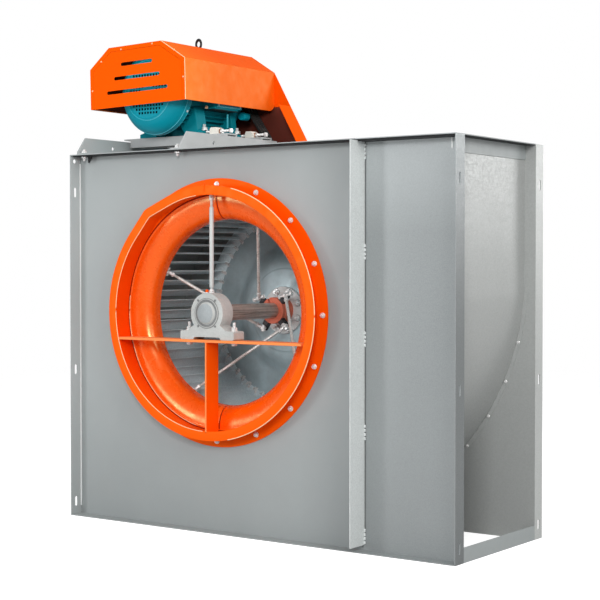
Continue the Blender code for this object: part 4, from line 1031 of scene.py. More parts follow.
def bell():
    """A spun bell: a rolled rim, one deep curve into a straight throat, and a seam at top and bottom."""
    high = box_of("inlet_bell")[1]
    throat, start_y, throat_y = 0.318, 0.0014, 0.052
    edge = INLET_RADIUS - 0.0045
    start_radius = edge - 0.005
    thickness = 0.0024
    curve = []
    for i in range(29):
        angle = math.pi / 2 * i / 28
        radius = throat + (start_radius - throat) * (1 - math.sin(angle) ** 1.06)
        curve.append((radius, start_y + (throat_y - start_y) * (1 - math.cos(angle)) ** 1.05))
    rim = [
        (edge, 0.0060), (edge, 0.0008), (edge - 0.0008, -0.0008), (edge - 0.0020, -0.0012),
        (edge - 0.0034, -0.0004)
    ]
    face = [*rim, *curve, (throat, high.y)]
    back = [(radius + thickness, y + 0.0008) for radius, y in reversed(face[4:-1])]
    profile = face + [(throat + thickness, high.y), *back, (edge - thickness, 0.0060)]
    obj = revolved("inlet_bell_spun", profile, FAN_AXIS, BACKWARD, INLET_STEPS)
    finish_piece(obj, "casing", "orange_inlet", "bell", angle=50, nodes=["inlet_bell"])
    seams, seam_shades = Shape(), Shape()
    for degrees in (91.5, -88.5):
        line = [polar_point(radius - 0.0004, degrees, y) for radius, y in curve[1:-4:3]]
        seams.weld(line, 0.0020, int(degrees) + 100)
        # Dark tubes beside the seams paint the shade in their grooves.
        seam_shades.tube([polar_point(radius - 0.0002, degrees - 0.75, y) for radius, y in curve[0:-3:2]], 0.0017, 8)
    seams.finish("bell_seams", "casing", "orange_inlet", "orange", angle=60)
    seam_shades.finish("bell_seam_shade", "casing", "orange_inlet", "gap", angle=60)
    # A pale line along the lower left of the rolled rim paints the highlight it catches.
    rim = Shape().tube(
        [polar_point(edge - 0.0018, 172.0 + 84.0 * i / 60, -0.0010) for i in range(61)], 0.0013, 8
    )
    rim.finish("bell_rim_painted_highlight", "casing", "orange_inlet", "edge", angle=60)


def bearing_support():
    low, high = box_of("bearing_crossbar")
    # The crossbar takes the paler orange that paints its sheen.
    bar = Shape().box(low, high)
    bar.finish("crossbar_plate", "casing", "orange_inlet", "bar", 0.0010, 3, 35, ["bearing_crossbar"])
    low, high = box_of("bearing_post")
    post = Shape().box(low, high)
    post.finish("post_plate", "casing", "orange_inlet", "cover", 0.0010, 3, 35, ["bearing_post"])
    # A strip of the paler orange on the post's front edge paints the sheen it catches.
    edge = Shape().box(
        (low.x + 0.0002, low.y - 0.0010, low.z + 0.004), (high.x - 0.0002, low.y + 0.0012, high.z - 0.0005)
    )
    edge.finish("post_front_painted_sheen", "casing", "orange_inlet", "bar", 0.0004, 2, 35)
    top = box_of("bearing_crossbar")[0].z
    welds = Shape()
    for side in (-1, 1):
        x = (low.x + high.x) / 2 + side * 0.0042
        welds.weld([(x, -0.062, top - 0.001), (x, -0.003, top - 0.001)], 0.0022, 11 + side)
    welds.finish("post_welds", "casing", "orange_inlet", "orange", angle=60)


def bearing_outline():
    """The plummer block from the front: foot with an arch under it, shoulders and a round housing."""
    low, high = box_of("front_bearing_housing")
    base = low.z
    half = (high.x - low.x) / 2
    radius = 0.0685
    foot = 0.0300
    points = [
        (half - 0.004, base), (half, base + 0.004), (half, base + foot - 0.004), (half - 0.004, base + foot)
    ]
    points += [(half - 0.030, base + foot + 0.001), (half - 0.038, base + foot + 0.004)]
    points += [
        (radius * math.cos(a), FAN_Z + radius * math.sin(a))
        for a in [math.radians(d) for d in range(-36, 217, 6)]
    ]
    points += [(0.038 - half, base + foot + 0.004), (0.030 - half, base + foot + 0.001)]
    points += [
        (-half + 0.004, base + foot), (-half, base + foot - 0.004), (-half, base + 0.004),
        (-half + 0.004, base)
    ]
    points += [(-0.060, base), (-0.054, base + 0.0075), (-0.047, base + 0.0090), (0.047, base + 0.0090)]
    points += [(0.054, base + 0.0075), (0.060, base)]
    return [(FAN_X + a, b) for a, b in points]


def bearing_caps():
    """The block's front cap with its raised ring and flat face, dark rings and pockets that paint the shade
    in its recesses, and its rear cap.
    """
    low, high = box_of("front_bearing_housing")
    front = low.y
    centre = (FAN_X, front, FAN_Z)
    profile = [
        (0.0, -0.002), (0.0465, -0.002), (0.0465, 0.0), (0.0492, 0.0), (0.0492, 0.0020), (0.0480, 0.0030)
    ]
    profile += [(0.0466, 0.0024), (0.0462, 0.0008), (0.0385, 0.0008), (0.0370, 0.0012), (0.0352, 0.0060)]
    profile += [(0.0330, 0.0076), (0.0305, 0.0080), (0.0, 0.0080)]
    cover = Shape().lathe(profile, centre, FORWARD, 64)
    cover.finish("bearing_cap", "casing", "bearing_cast", "cast", angle=40, nodes=["front_bearing_cover"])
    profile = [(0.0, 0.0080), (0.0318, 0.0080), (0.0326, 0.0084), (0.0318, 0.0088), (0.0, 0.0088)]
    face = Shape().lathe(profile, centre, FORWARD, 64)
    face.finish("bearing_cap_face", "casing", "bearing_cast", "cap", angle=40)
    recess = Shape()
    for section in (rectangle(0.0384, 0.0010, 0.0460, 0.0016), rectangle(0.0494, 0.0002, 0.0514, 0.0008)):
        recess.lathe(section, centre, FORWARD, 64, closed=True)
    for degrees in (50.0, 130.0, 230.0, 310.0):
        at = polar_point(0.0565, degrees, front + 0.0002)
        recess.lathe(rectangle(0, 0, 0.0042, 0.0012), at, FORWARD, 6, turn=degrees)
    recess.finish("bearing_cap_recess_shade", "casing", "bearing_cast", "recess")
    profile = [(0.030, 0.0), (0.050, 0.0), (0.050, 0.003), (0.046, 0.0045), (0.030, 0.0045)]
    rear = revolved("bearing_rear_cap", profile, (FAN_X, high.y, FAN_Z), BACKWARD, 48)
    finish_piece(rear, "casing", "bearing_cast", "cast", angle=40)


def front_bearing():
    low, high = box_of("front_bearing_housing")
    outlines = [bearing_outline(), circle(FAN, HOUSING_BORE, 64)]
    body = flat("plummer_block", outlines, "XZ", low.y + 0.0005, high.y + 0.0015)
    finish_piece(body, "casing", "bearing_cast", "cast", 0.0022, 3, 40, ["front_bearing_housing"])
    bearing_caps()
    bolts = Shape()
    half = (high.x - low.x) / 2
    middle = (low.y + high.y) / 2
    for side in (-1, 1):
        at = Vector((FAN_X + side * (half - 0.0185), middle, low.z + 0.0300))
        bolts.washer(at, UP, 0.0125, 0.0025)
        bolts.hexagon(at + UP * 0.0025, UP, 0.0185, 0.0105, 0.3)
        bolts.thread(at + UP * 0.0130, UP, 0.0055, 0.0160)
        under = Vector((at.x, middle, box_of("bearing_crossbar")[0].z))
        bolts.washer(under, -UP, 0.0125, 0.0022)
        bolts.hexagon(under - UP * 0.0022, -UP, 0.0185, 0.0075, 0.8)
    bolts.finish("bearing_foot_bolts", "casing", "zinc_fittings", "zinc", angle=30)


def grease_line():
    low, high = box_of("grease_tube")
    x, y = (low.x + high.x) / 2, (low.y + high.y) / 2
    start = box_of("grease_fitting")[0].z
    fittings = Shape()
    fittings.hexagon((x, y, start), UP, 0.017, 0.009, 0.4)
    fittings.lathe(rectangle(0, 0, 0.0062, 0.006), (x, y, start + 0.009), UP, 20)
    fittings.hexagon((x - 0.020, y, start - 0.003), UP, 0.014, 0.0055, 0.4)
    fittings.finish("grease_adaptor", "casing", "zinc_fittings", "zinc", angle=30, nodes=["grease_fitting"])
    cap = Shape()
    cap.lathe(
        [(0, 0), (0.0055, 0), (0.0055, 0.006), (0.0040, 0.0095), (0, 0.0100)], (x - 0.020, y, start + 0.002),
        UP, 20
    )
    cap.finish("grease_cap", "casing", "grease_nipple", "orange", angle=40)
    top = high.z
    tube = Shape()
    tube.lathe(
        [(0, 0), (0.0068, 0), (0.0075, 0.001), (0.0075, 0.268), (0.0066, 0.272), (0, 0.272)], (x, y, low.z),
        UP, 24
    )
    tube.finish("grease_pipe_tube", "casing", "grease_pipe", "pipe", angle=40, nodes=["grease_tube"])
    end = Shape()
    end.thread((x, y, low.z + 0.270), UP, 0.0052, top - low.z - 0.270 - 0.001)
    end.hexagon((x, y, top - 0.022), UP, 0.016, 0.008, 0.2)
    end.washer((x, y, top - 0.0125), UP, 0.0095, 0.0020)
    end.hexagon((x, y, top - 0.010), UP, 0.014, 0.006, 0.9)
    end.finish("grease_pipe_end", "casing", "zinc_fittings", "rod", angle=30)


def rear_bearing():
    low, high = box_of("rear_bearing_plate")
    outlines = [rounded(low.x, low.z, high.x, high.z, 0.010), circle(FAN, SHAFT_HOLE, 48)]
    plate = flat("rear_bearing_pad", outlines, "XZ", low.y, high.y)
    finish_piece(plate, "casing", "painted_supports", "support", 0.0008, 2, 35, ["rear_bearing_plate"])
    low, high = box_of("rear_bearing_housing")
    outlines = [rounded(low.x, low.z, high.x, high.z, 0.026, 8), circle(FAN, HOUSING_BORE, 64)]
    flange = flat("flange_unit", outlines, "XZ", low.y, low.y + 0.015)
    profile = [(HOUSING_BORE, 0.010), (0.0675, 0.010), (0.0660, 0.020), (0.0600, 0.034), (0.0560, 0.0385)]
    profile.append((HOUSING_BORE, 0.0385))
    merge(flange, revolved("dome", profile, (FAN_X, low.y, FAN_Z), BACKWARD, 64))
    finish_piece(flange, "casing", "bearing_cast", "cast", 0.0018, 3, 40, ["rear_bearing_housing"])
    bolts = Shape()
    for reach, out, size, turns, stud in ((0.059, 0.015, 0.014, 20, 0.006), (0.130, 0.0, 0.010, 9, 0.004)):
        for dx in (-reach, reach):
            for dz in (-reach, reach):
                bolts.bolt((FAN_X + dx, low.y + out, FAN_Z + dz), BACKWARD, size, dx * turns, stud)
    bolts.finish("rear_bearing_bolts", "casing", "zinc_fittings", "zinc", angle=30)


# ---------------------------------------------------------------------------------------------
# Fan rotor
# ---------------------------------------------------------------------------------------------

BLADES = 60
BLADE_INNER, BLADE_OUTER = 0.3445, 0.3875
DISC_Y = box_of("impeller_blade_cage")[1].y
RING_Y = box_of("impeller_blade_cage")[0].y
HUB_LOW, HUB_HIGH = box_of("impeller_hub")
HUB_RADIUS = 0.047
HUB_FACE_Y = HUB_HIGH.y - 0.010
TIE_ANGLES = ((45.0, -36.0), (146.0, 72.0), (235.0, 155.0), (313.0, 237.0))
TIE_HUB_RADIUS, TIE_HUB_Y = 0.077, 0.315
TIE_RING_RADIUS, TIE_RING_Y = 0.331, 0.090
PIN_SLANTS = ((0.065, 0.017), (0.048, 0.015), (0.002, -0.024), (0.022, -0.019))
EYE_SECTION = [(0.0048, -0.0048), (0.0108, -0.0038), (0.0118, 0.0), (0.0108, 0.0038), (0.0048, 0.0048)]


def shaft_and_hub():
    low, high = box_of("fan_shaft")
    radius, length, soft = (high.x - low.x) / 2, high.y - low.y, 0.002
    profile = [
        (0, 0), (radius - soft, 0), (radius, soft), (radius, length - soft), (radius - soft, length),
        (0, length)
    ]
    shaft = Shape().lathe(profile, (FAN_X, low.y, FAN_Z), BACKWARD, 64)
    shaft.finish("fan_shaft_turned", "fan_rotor", "shaft_steel", "shaft", nodes=["fan_shaft"])
    bore = radius + 0.0003
    hub_boss(bore)
    hub_flange(bore)


def hub_boss(bore):
    """The boss that carries the tie rods' lugs, with a groove round it and a slit in its front."""
    start = HUB_LOW.y
    groove = HUB_RADIUS - 0.005
    profile = [
        (bore, start), (HUB_RADIUS - 0.002, start), (HUB_RADIUS, start + 0.002), (HUB_RADIUS, start + 0.014)
    ]
    profile += [(groove, start + 0.016), (groove, start + 0.020), (HUB_RADIUS, start + 0.022)]
    profile += [(HUB_RADIUS, HUB_FACE_Y), (bore, HUB_FACE_Y)]
    hub = revolved("hub_boss", profile, FAN_AXIS, BACKWARD, 64)
    slit = Shape().box((-0.0035, start - 0.01, 0.020), (0.0035, start + 0.030, 0.060)).object("slit")
    slit.data.transform(pointed(FAN_AXIS, math.radians(22)))
    carve(hub, slit)
    finish_piece(hub, "fan_rotor", "hub_primer", "primer", 0.0010, 2, 40, ["impeller_hub"])


def hub_flange(bore):
    face, end = HUB_FACE_Y, HUB_HIGH.y
    profile = [(bore, face), (0.0835, face), (0.085, face + 0.0015), (0.085, end), (bore, end)]
    flange = revolved("hub_flange", profile, FAN_AXIS, BACKWARD, 72)
    finish_piece(flange, "fan_rotor", "hub_primer", "flange", 0.0006, 2, 35)
    bolts, collars = Shape(), Shape()
    for index in range(8):
        x, z = polar(0.0705, 22.5 + 45.0 * index)
        collars.washer((x, face, z), FORWARD, 0.0125, 0.0012)
        bolts.bolt((x, face - 0.0012, z), FORWARD, 0.0105, index, stud=0.006)
    collars.finish("hub_bolt_seats", "fan_rotor", "pulley_iron", "black", angle=30)
    bolts.finish("hub_bolts", "fan_rotor", "zinc_fittings", "zinc", angle=30)


def rod_hub_end(pins, ends, start, along, across, half):
    """At the hub: a cross pin with a head at each end, and the rod's eye, socket and nut."""
    pins.tube([start - across * half, start + across * half], 0.0046, 14)
    pins.hexagon(start + across * (half - 0.008), across, 0.0150, 0.0072, 0.4)
    pins.hexagon(start - across * (half - 0.008), -across, 0.0150, 0.0072, 0.1)
    ends.lathe(EYE_SECTION, start, across, 24, closed=True)
    socket = [(0, 0), (0.0068, 0), (0.0068, 0.012), (0.0060, 0.015), (0, 0.015)]
    ends.lathe(socket, start + along * 0.007, along, 16)
    ends.hexagon(start + along * 0.021, along, 0.0155, 0.0078, 0.5)


def rod_ring_end(pins, ends, end, along, side):
    """At the inlet ring: a cross pin with a head at each end, and the rod's eye, socket and nut."""
    pins.tube([end - side * 0.014, end + side * 0.014], 0.0042, 14)
    pins.hexagon(end + side * 0.009, side, 0.0135, 0.006, 0.3)
    pins.hexagon(end - side * 0.009, -side, 0.0135, 0.006, 0.6)
    ends.lathe(EYE_SECTION, end, side, 24, closed=True)
    ends.lathe(rectangle(0, 0, 0.0062, 0.012), end - along * 0.007, -along, 16)
    ends.hexagon(end - along * 0.020, -along, 0.0150, 0.0075, 0.2)


def rod_lugs(lugs, hub_degrees, ring_degrees):
    """Two plates on the hub and two on the ring, for the pins at a rod's ends."""
    turn = pointed(FAN_AXIS, math.radians(hub_degrees))
    lugs.box(
        (HUB_RADIUS - 0.003, TIE_HUB_Y - 0.004, -0.011), (TIE_HUB_RADIUS - 0.012, TIE_HUB_Y + 0.016, 0.011),
        turn
    )
    lugs.box(
        (HUB_RADIUS + 0.006, TIE_HUB_Y + 0.006, -0.011), (TIE_HUB_RADIUS + 0.004, TIE_HUB_Y + 0.016, 0.011),
        turn
    )
    turn = pointed(FAN_AXIS, math.radians(ring_degrees))
    for low_z, high_z in ((-0.013, -0.0085), (0.0085, 0.013)):
        low = (TIE_RING_RADIUS + 0.004, RING_Y + 0.0032, low_z)
        lugs.box(low, (BLADE_INNER - 0.001, TIE_RING_Y + 0.008, high_z), turn)


def tie_rods():
    """Four slanted rods from the hub to the inlet ring, with an eye and a cross pin at each end."""
    lugs, pins = Shape(), Shape()
    for index, (hub_degrees, ring_degrees) in enumerate(TIE_ANGLES):
        start = polar_point(TIE_HUB_RADIUS, hub_degrees, TIE_HUB_Y)
        end = polar_point(TIE_RING_RADIUS, ring_degrees, TIE_RING_Y)
        along = (end - start).normalized()
        rod = Shape()
        rod.tube([start + along * 0.032, end - along * 0.046], 0.0055, 16)
        rod.thread(start + along * 0.014, along, 0.0048, 0.022)
        rod.thread(end - along * 0.050, along, 0.0048, 0.036)
        name, node = f"tie_rod_bar_{index + 1}", f"tie_rod_{index + 1}"
        rod.finish(name, "fan_rotor", "zinc_fittings", "rod", angle=40, nodes=[node])
        ends = Shape()
        across = Vector((PIN_SLANTS[index][0], 0.0, PIN_SLANTS[index][1])).normalized()
        half = min(0.030, Vector(PIN_SLANTS[index]).length / 2)
        rod_hub_end(pins, ends, start, along, across, half)
        out = polar_point(1.0, ring_degrees, 0.0) - polar_point(0.0, ring_degrees, 0.0)
        rod_ring_end(pins, ends, end, along, out.cross(BACKWARD))
        ends.finish(f"tie_rod_ends_{index + 1}", "fan_rotor", "zinc_fittings", "zinc", angle=40)
        rod_lugs(lugs, hub_degrees, ring_degrees)
    lugs.finish("tie_rod_lugs", "fan_rotor", "pulley_iron", "black", 0.0010, 2, 35)
    pins.finish("tie_rod_pins", "fan_rotor", "zinc_fittings", "zinc", angle=30)


def blade_line(turn):
    """The middle line of a forward-curved blade, from the inner circle to the outer one."""
    sweep, bow, steps = math.radians(4.6), 0.0055, 8
    line = []
    for i in range(steps + 1):
        part = i / steps
        radius = BLADE_INNER + (BLADE_OUTER - BLADE_INNER) * part
        angle = turn + sweep * part
        side = bow * math.sin(math.pi * part)
        across = radius * math.cos(angle) + side * math.sin(angle)
        line.append(Vector((across, radius * math.sin(angle) - side * math.cos(angle))))
    return line


def blade_outline(turn):
    line = blade_line(turn)
    half = 0.0009
    front, back = [], []
    for i, point in enumerate(line):
        along = heading(line, i)
        side = Vector((-along.y, along.x)).normalized() * half
        front.append(point + side)
        back.append(point - side)
    return [(FAN_X + p.x, FAN_Z + p.y) for p in front + back[::-1]]


def blade_tab(tabs, turn):
    """The tab that holds a blade on the disc: a foot, an upright and a rivet."""
    placed = pointed(FAN_AXIS, turn)
    foot = DISC_Y - 0.0026
    tabs.box((BLADE_INNER - 0.014, DISC_Y - 0.0046, 0.0012), (BLADE_INNER + 0.010, foot, 0.0115), placed)
    tabs.box((BLADE_INNER - 0.012, DISC_Y - 0.016, -0.0010), (BLADE_INNER + 0.002, foot, 0.0010), placed)
    rivet = placed @ Vector((BLADE_INNER - 0.004, DISC_Y - 0.0046, 0.0065))
    tabs.lathe([(0, 0), (0.0030, 0), (0.0024, 0.0016), (0, 0.002)], rivet, FORWARD, 10)


def blades():
    cage, tabs = Shape(), Shape()
    for index in range(BLADES):
        turn = 2 * math.pi * index / BLADES
        cage.prism(blade_outline(turn), (0, DISC_Y - 0.002, 0), RIGHT, UP, DISC_Y - RING_Y - 0.005)
        blade_tab(tabs, turn)
    cage.finish(
        "impeller_blades", "fan_rotor", "impeller_sheet", "impeller", angle=40, nodes=["impeller_blade_cage"]
    )
    tabs.finish("blade_tabs", "fan_rotor", "impeller_sheet", "zinc", angle=30)
    inner, outer = BLADE_INNER - 0.004, BLADE_OUTER + 0.004
    hem = outer - 0.002
    section = [(inner, RING_Y), (hem, RING_Y), (outer, RING_Y + 0.002), (outer, RING_Y + 0.012)]
    section += [(hem, RING_Y + 0.012), (hem, RING_Y + 0.003), (inner, RING_Y + 0.003)]
    rings = Shape().lathe(section, FAN_AXIS, BACKWARD, 180, closed=True)
    section = rectangle(BLADE_INNER - 0.006, DISC_Y - 0.0024, BLADE_OUTER + 0.001, DISC_Y)
    rings.lathe(section, FAN_AXIS, BACKWARD, 180, closed=True)
    rings.finish("impeller_rings", "fan_rotor", "impeller_sheet", "impeller")


def back_plate():
    low, high = box_of("impeller_back_plate")
    rim = (high.x - low.x) / 2
    bore = 0.0278
    face = low.y
    flat_y = DISC_Y + 0.0003
    front = [
        (bore, face), (0.146, face), (0.148, face + 0.0006), (0.150, face + 0.0022), (0.153, face + 0.0034)
    ]
    for i in range(9):
        part = i / 8
        eased = part * part * (3 - 2 * part)
        front.append((0.156 + (0.255 - 0.156) * part, face + 0.0040 + (flat_y - face - 0.0040) * eased))
    front.append((rim, flat_y))
    back = [(radius, y + 0.0032) for radius, y in reversed(front)]
    plate = Shape().lathe(front + back, FAN_AXIS, BACKWARD, 180, closed=True)
    plate.finish(
        "impeller_disc", "fan_rotor", "impeller_sheet", "disc", angle=50, nodes=["impeller_back_plate"]
    )


def pulley(name, node, x, z, body, spokes):
    """A V-belt pulley with a grooved rim, and a web with round holes where it has spokes."""
    low, high = box_of(node)
    radius = (high.x - low.x) / 2
    middle = (low.y + high.y) / 2
    profile = [(radius, low.y + 0.001), (radius, middle - 0.0255)]
    floor = radius - 0.0115
    for index in range(BELTS):
        centre = middle + BELT_PITCH * (index - 1)
        profile += [
            (radius, centre - 0.0068), (floor, centre - 0.0045), (floor, centre + 0.0045),
            (radius, centre + 0.0068)
        ]
    profile += [(radius, high.y - 0.001), (radius - 0.001, high.y)]
    if spokes:
        inner = radius - 0.026
        hub = 0.058
        profile += [
            (inner, high.y), (inner - 0.003, middle + 0.008), (hub + 0.004, middle + 0.008),
            (hub, high.y - 0.002)
        ]
        profile += [
            (0.0278, high.y - 0.002), (0.0278, low.y + 0.002), (hub, low.y + 0.002),
            (hub + 0.004, middle - 0.008)
        ]
        profile += [(inner - 0.003, middle - 0.008), (inner, low.y), (radius - 0.001, low.y)]
    else:
        profile += [(0.0215, high.y), (0.0215, low.y), (radius - 0.001, low.y)]
    obj = revolved(name, profile, (x, 0, z), BACKWARD, 96)
    if spokes:
        holes = []
        for index in range(5):
            at = polar(radius * 0.56, 72.0 * index + 18.0, (x, z))
            holes.append(flat("hole", [circle(at, radius * 0.145, 32)], "XZ", low.y, high.y))
        carve(obj, *holes)
    finish_piece(obj, body, "pulley_iron", "iron", 0.0006, 2, 40, [node])
    bore, size = (0.0280, 0.046) if spokes else (0.0216, 0.036)
    pulley_bush(f"{name}_bush", low, high, (x, z), body, bore, size)


def pulley_bush(name, low, high, at, body, bore, size):
    """A pulley's taper bush, with three screws in its outer face."""
    half = (high.y - low.y) / 2
    x, z = at
    bush = Shape()
    section = rectangle(bore, half - 0.004, size, half + 0.0006)
    bush.lathe(section, (x, (low.y + high.y) / 2, z), BACKWARD, 48, closed=True)
    for index in range(3):
        screw_x, screw_z = polar((bore + size) / 2, 120.0 * index + 15.0, at)
        bush.lathe(rectangle(0, 0, 0.0045, 0.0012), (screw_x, high.y + 0.0004, screw_z), BACKWARD, 6)
    bush.finish(name, body, "shaft_steel", "shaft", angle=35)


def belt_loop(fan_radius, motor_radius):
    """The belt's two arcs, round the fan's pulley and round the motor's."""
    across, up = MOTOR_X - FAN_X, MOTOR_Z - FAN_Z
    lean = math.asin((fan_radius - motor_radius) / math.hypot(across, up))
    towards = math.atan2(up, across)
    first, last = towards + math.pi / 2 - lean, towards + 3 * math.pi / 2 + lean
    big = arc(FAN, fan_radius, first, last, 60)
    small = arc(MOTOR, motor_radius, last, first + 2 * math.pi, 36)
    return big, small


def straight_run(start, end):
    """Points between the ends of two arcs."""
    steps = 14
    return [tuple(Vector(start).lerp(Vector(end), i / steps)) for i in range(1, steps)]


def belt(index, centre, fan_radius, motor_radius):
    loops = []
    for depth, side in ((-0.0098, -0.0040), (0.0, -0.0060), (0.0, 0.0060), (-0.0098, 0.0040)):
        big, small = belt_loop(fan_radius + depth, motor_radius + depth)
        points = (*big, *straight_run(big[-1], small[0]), *small, *straight_run(small[-1], big[0]))
        loops.append([(x, centre + side, z) for x, z in points])
    shape = Shape()
    rings = [[shape.mesh.verts.new(point) for point in points] for points in zip(*loops)]
    for here, after in zip(rings, [*rings[1:], rings[0]]):
        for k in range(4):
            shape.mesh.faces.new((here[k], here[(k + 1) % 4], after[(k + 1) % 4], after[k]))
    return shape.object(f"v_belt_{index + 1}")


def belts():
    """Three V-belts, from the fan's pulley to the motor's, which slides on its base."""
    fan_low, fan_high = box_of("fan_pulley")
    motor_low, motor_high = box_of("motor_pulley")
    middle = (fan_low.y + fan_high.y) / 2
    towards = Vector((MOTOR_X - FAN_X, 0.0, MOTOR_Z - FAN_Z)).normalized()
    start = Vector((FAN_X, middle, FAN_Z)) + towards * 0.20 + SHIFT
    end = Vector((MOTOR_X, middle, MOTOR_Z)) - towards * 0.12 + SHIFT
    ride = ("casing", "motor", start, end)
    for index in range(BELTS):
        centre = middle + BELT_PITCH * (index - 1)
        obj = belt(index, centre, (fan_high.x - fan_low.x) / 2, (motor_high.x - motor_low.x) / 2)
        finish_piece(obj, ride, "belt_rubber", "rubber", nodes=[f"drive_belt_{index + 1}"])


# ---------------------------------------------------------------------------------------------
# Motor
# ---------------------------------------------------------------------------------------------


def motor_cowl():
    low, high = box_of("motor_fan_cowl")
    radius = (high.x - low.x) / 2
    grille = 0.105
    start = low.y
    shell = [(grille, start), (grille + 0.003, start + 0.0012), (grille + 0.014, start + 0.0050)]
    shell += [
        (grille + 0.026, start + 0.0120), (grille + 0.038, start + 0.0230), (radius - 0.0050, start + 0.0350)
    ]
    shell += [(radius - 0.0012, start + 0.0460), (radius, start + 0.0560), (radius, high.y)]
    inner = [(r - 0.0022, y + 0.0012) for r, y in reversed(shell[:-1])]
    profile = shell + [
        (radius - 0.0022, high.y), *inner, (grille - 0.004, start + 0.0022), (grille - 0.004, start)
    ]
    cowl = revolved("cowl_shell", profile, MOTOR_AXIS, BACKWARD, 120)
    finish_piece(cowl, "motor", "motor_teal", "teal", angle=45, nodes=["motor_fan_cowl"])
    # The cowl's ring beads are raised, and painted paler as the highlight they catch.
    beads = Shape()
    for r, y in (
        (radius + 0.0002, high.y - 0.0030),
        (radius - 0.0014, start + 0.0440),
        (grille + 0.0035, start + 0.0014),
    ):
        section = [
            (r - 0.0016, y - 0.0014), (r + 0.0008, y - 0.0012), (r + 0.0010, y + 0.0012),
            (r - 0.0016, y + 0.0014)
        ]
        beads.lathe(section, MOTOR_AXIS, BACKWARD, 120, closed=True)
    beads.finish("cowl_ring_bead_highlights", "motor", "motor_teal", "teal_light", angle=60)
    cowl_grille(grille, start)
    screws = Shape()
    for degrees in (-30.0, -120.0, 60.0, 150.0):
        x, z = polar(radius, degrees, MOTOR)
        out = Vector((x - MOTOR_X, 0, z - MOTOR_Z)).normalized()
        screws.hexagon(Vector((x, high.y - 0.008, z)) - out * 0.0010, out, 0.008, 0.0030)
    screws.finish("cowl_screws", "motor", "zinc_fittings", "zinc", angle=30)


def cowl_grille(radius, start):
    """The cowl's end, pierced by rows of square holes, and the bead round it."""
    holes = []
    pitch, side = 0.0135, 0.0082
    rows = range(-7, 8)
    for i in rows:
        for k in rows:
            x, z = MOTOR_X + i * pitch, MOTOR_Z + k * pitch
            if 0.030 < math.hypot(x - MOTOR_X, z - MOTOR_Z) < 0.092:
                holes.append(rectangle(x - side / 2, z - side / 2, x + side / 2, z + side / 2))
    outlines = [circle(MOTOR, radius - 0.0035, 96), *holes]
    disc = flat("cowl_grille", outlines, "XZ", start + 0.0002, start + 0.0018)
    finish_piece(disc, "motor", "motor_teal", "teal")
    section = [
        (radius - 0.006, -0.0006), (radius - 0.003, -0.0014), (radius, 0.0002), (radius - 0.001, 0.0016)
    ]
    section.append((radius - 0.006, 0.0014))
    rim = revolved("cowl_bead", section, (MOTOR_X, start, MOTOR_Z), BACKWARD, 120)
    finish_piece(rim, "motor", "motor_teal", "teal")


def motor_frame():
    stator()
    low, high = box_of("motor_frame")
    belly = Shape().box((MOTOR_X - 0.080, 0.286, low.z + 0.004), (MOTOR_X + 0.120, 0.430, MOTOR_Z - 0.122))
    belly.finish("frame_belly", "motor", "motor_teal", "teal_dark", 0.003, 2, 35)
    # The rib is painted in the paler teal that paints its highlight.
    outline = rectangle(high.x - 0.0150, low.z + 0.036, high.x - 0.0110, low.z + 0.088)
    rib = Shape().prism(outline, (0, 0.398, 0), RIGHT, UP, 0.008)
    rib.finish("frame_rib", "motor", "motor_teal", "teal_light", 0.0010, 2, 35)
    motor_feet()


def stator():
    """The stator's barrel with its cooling fins, which leave out the feet and the terminal box."""
    low, high = box_of("motor_frame")
    start, end = low.y, high.y
    outer = 0.143
    core = outer - 0.014
    profile = [
        (0.105, start), (outer, start), (outer, start + 0.010), (core, start + 0.018), (core, end - 0.018)
    ]
    profile += [(outer, end - 0.010), (outer, end), (0.105, end)]
    barrel = Shape().lathe(profile, MOTOR_AXIS, BACKWARD, 96, closed=True)
    for index in range(44):
        degrees = 360.0 * index / 44 + 4.0
        if 236.0 < degrees % 360.0 < 304.0 or (degrees % 360.0 < 22.0 or degrees % 360.0 > 338.0):
            continue
        turn = pointed(MOTOR_AXIS, math.radians(degrees))
        barrel.box((core - 0.003, start + 0.008, -0.0014), (outer - 0.0005, end - 0.008, 0.0014), turn)
    barrel.finish("stator_frame", "motor", "motor_teal", "teal_dark", 0.0007, 2, 40, ["motor_frame"])


def motor_feet():
    low, high = box_of("motor_frame")
    feet, bolts = Shape(), Shape()
    foot_z = low.z
    for first, last in ((0.227, 0.283), (0.434, high.y)):
        for side, toe in ((-1, LEFT_TOE), (1, high.x)):
            heel = toe - side * 0.080
            web = [(toe, foot_z), (heel, foot_z), (heel - side * 0.004, foot_z + 0.014)]
            web += [(MOTOR_X + side * 0.052, MOTOR_Z - 0.118), (MOTOR_X + side * 0.122, MOTOR_Z - 0.055)]
            web += [
                (MOTOR_X + side * 0.132, MOTOR_Z - 0.085), (toe - side * 0.020, foot_z + 0.019),
                (toe, foot_z + 0.014)
            ]
            feet.prism(web, (0, last, 0), RIGHT, UP, last - first)
            at = Vector((toe - side * 0.019, (first + last) / 2 + 0.010, foot_z + 0.0185))
            bolts.bolt(at, UP, 0.013, first * 9, stud=0.012)
            under = Vector((at.x, at.y, foot_z - 0.006))
            bolts.washer(under, -UP, 0.014, 0.003)
            bolts.hexagon(under - UP * 0.003, -UP, 0.022, 0.010, 0.3)
    feet.finish("motor_feet", "motor", "motor_teal", "teal_dark", 0.0022, 3, 30)
    bolts.finish("motor_foot_bolts", "motor", "zinc_fittings", "zinc", angle=30)


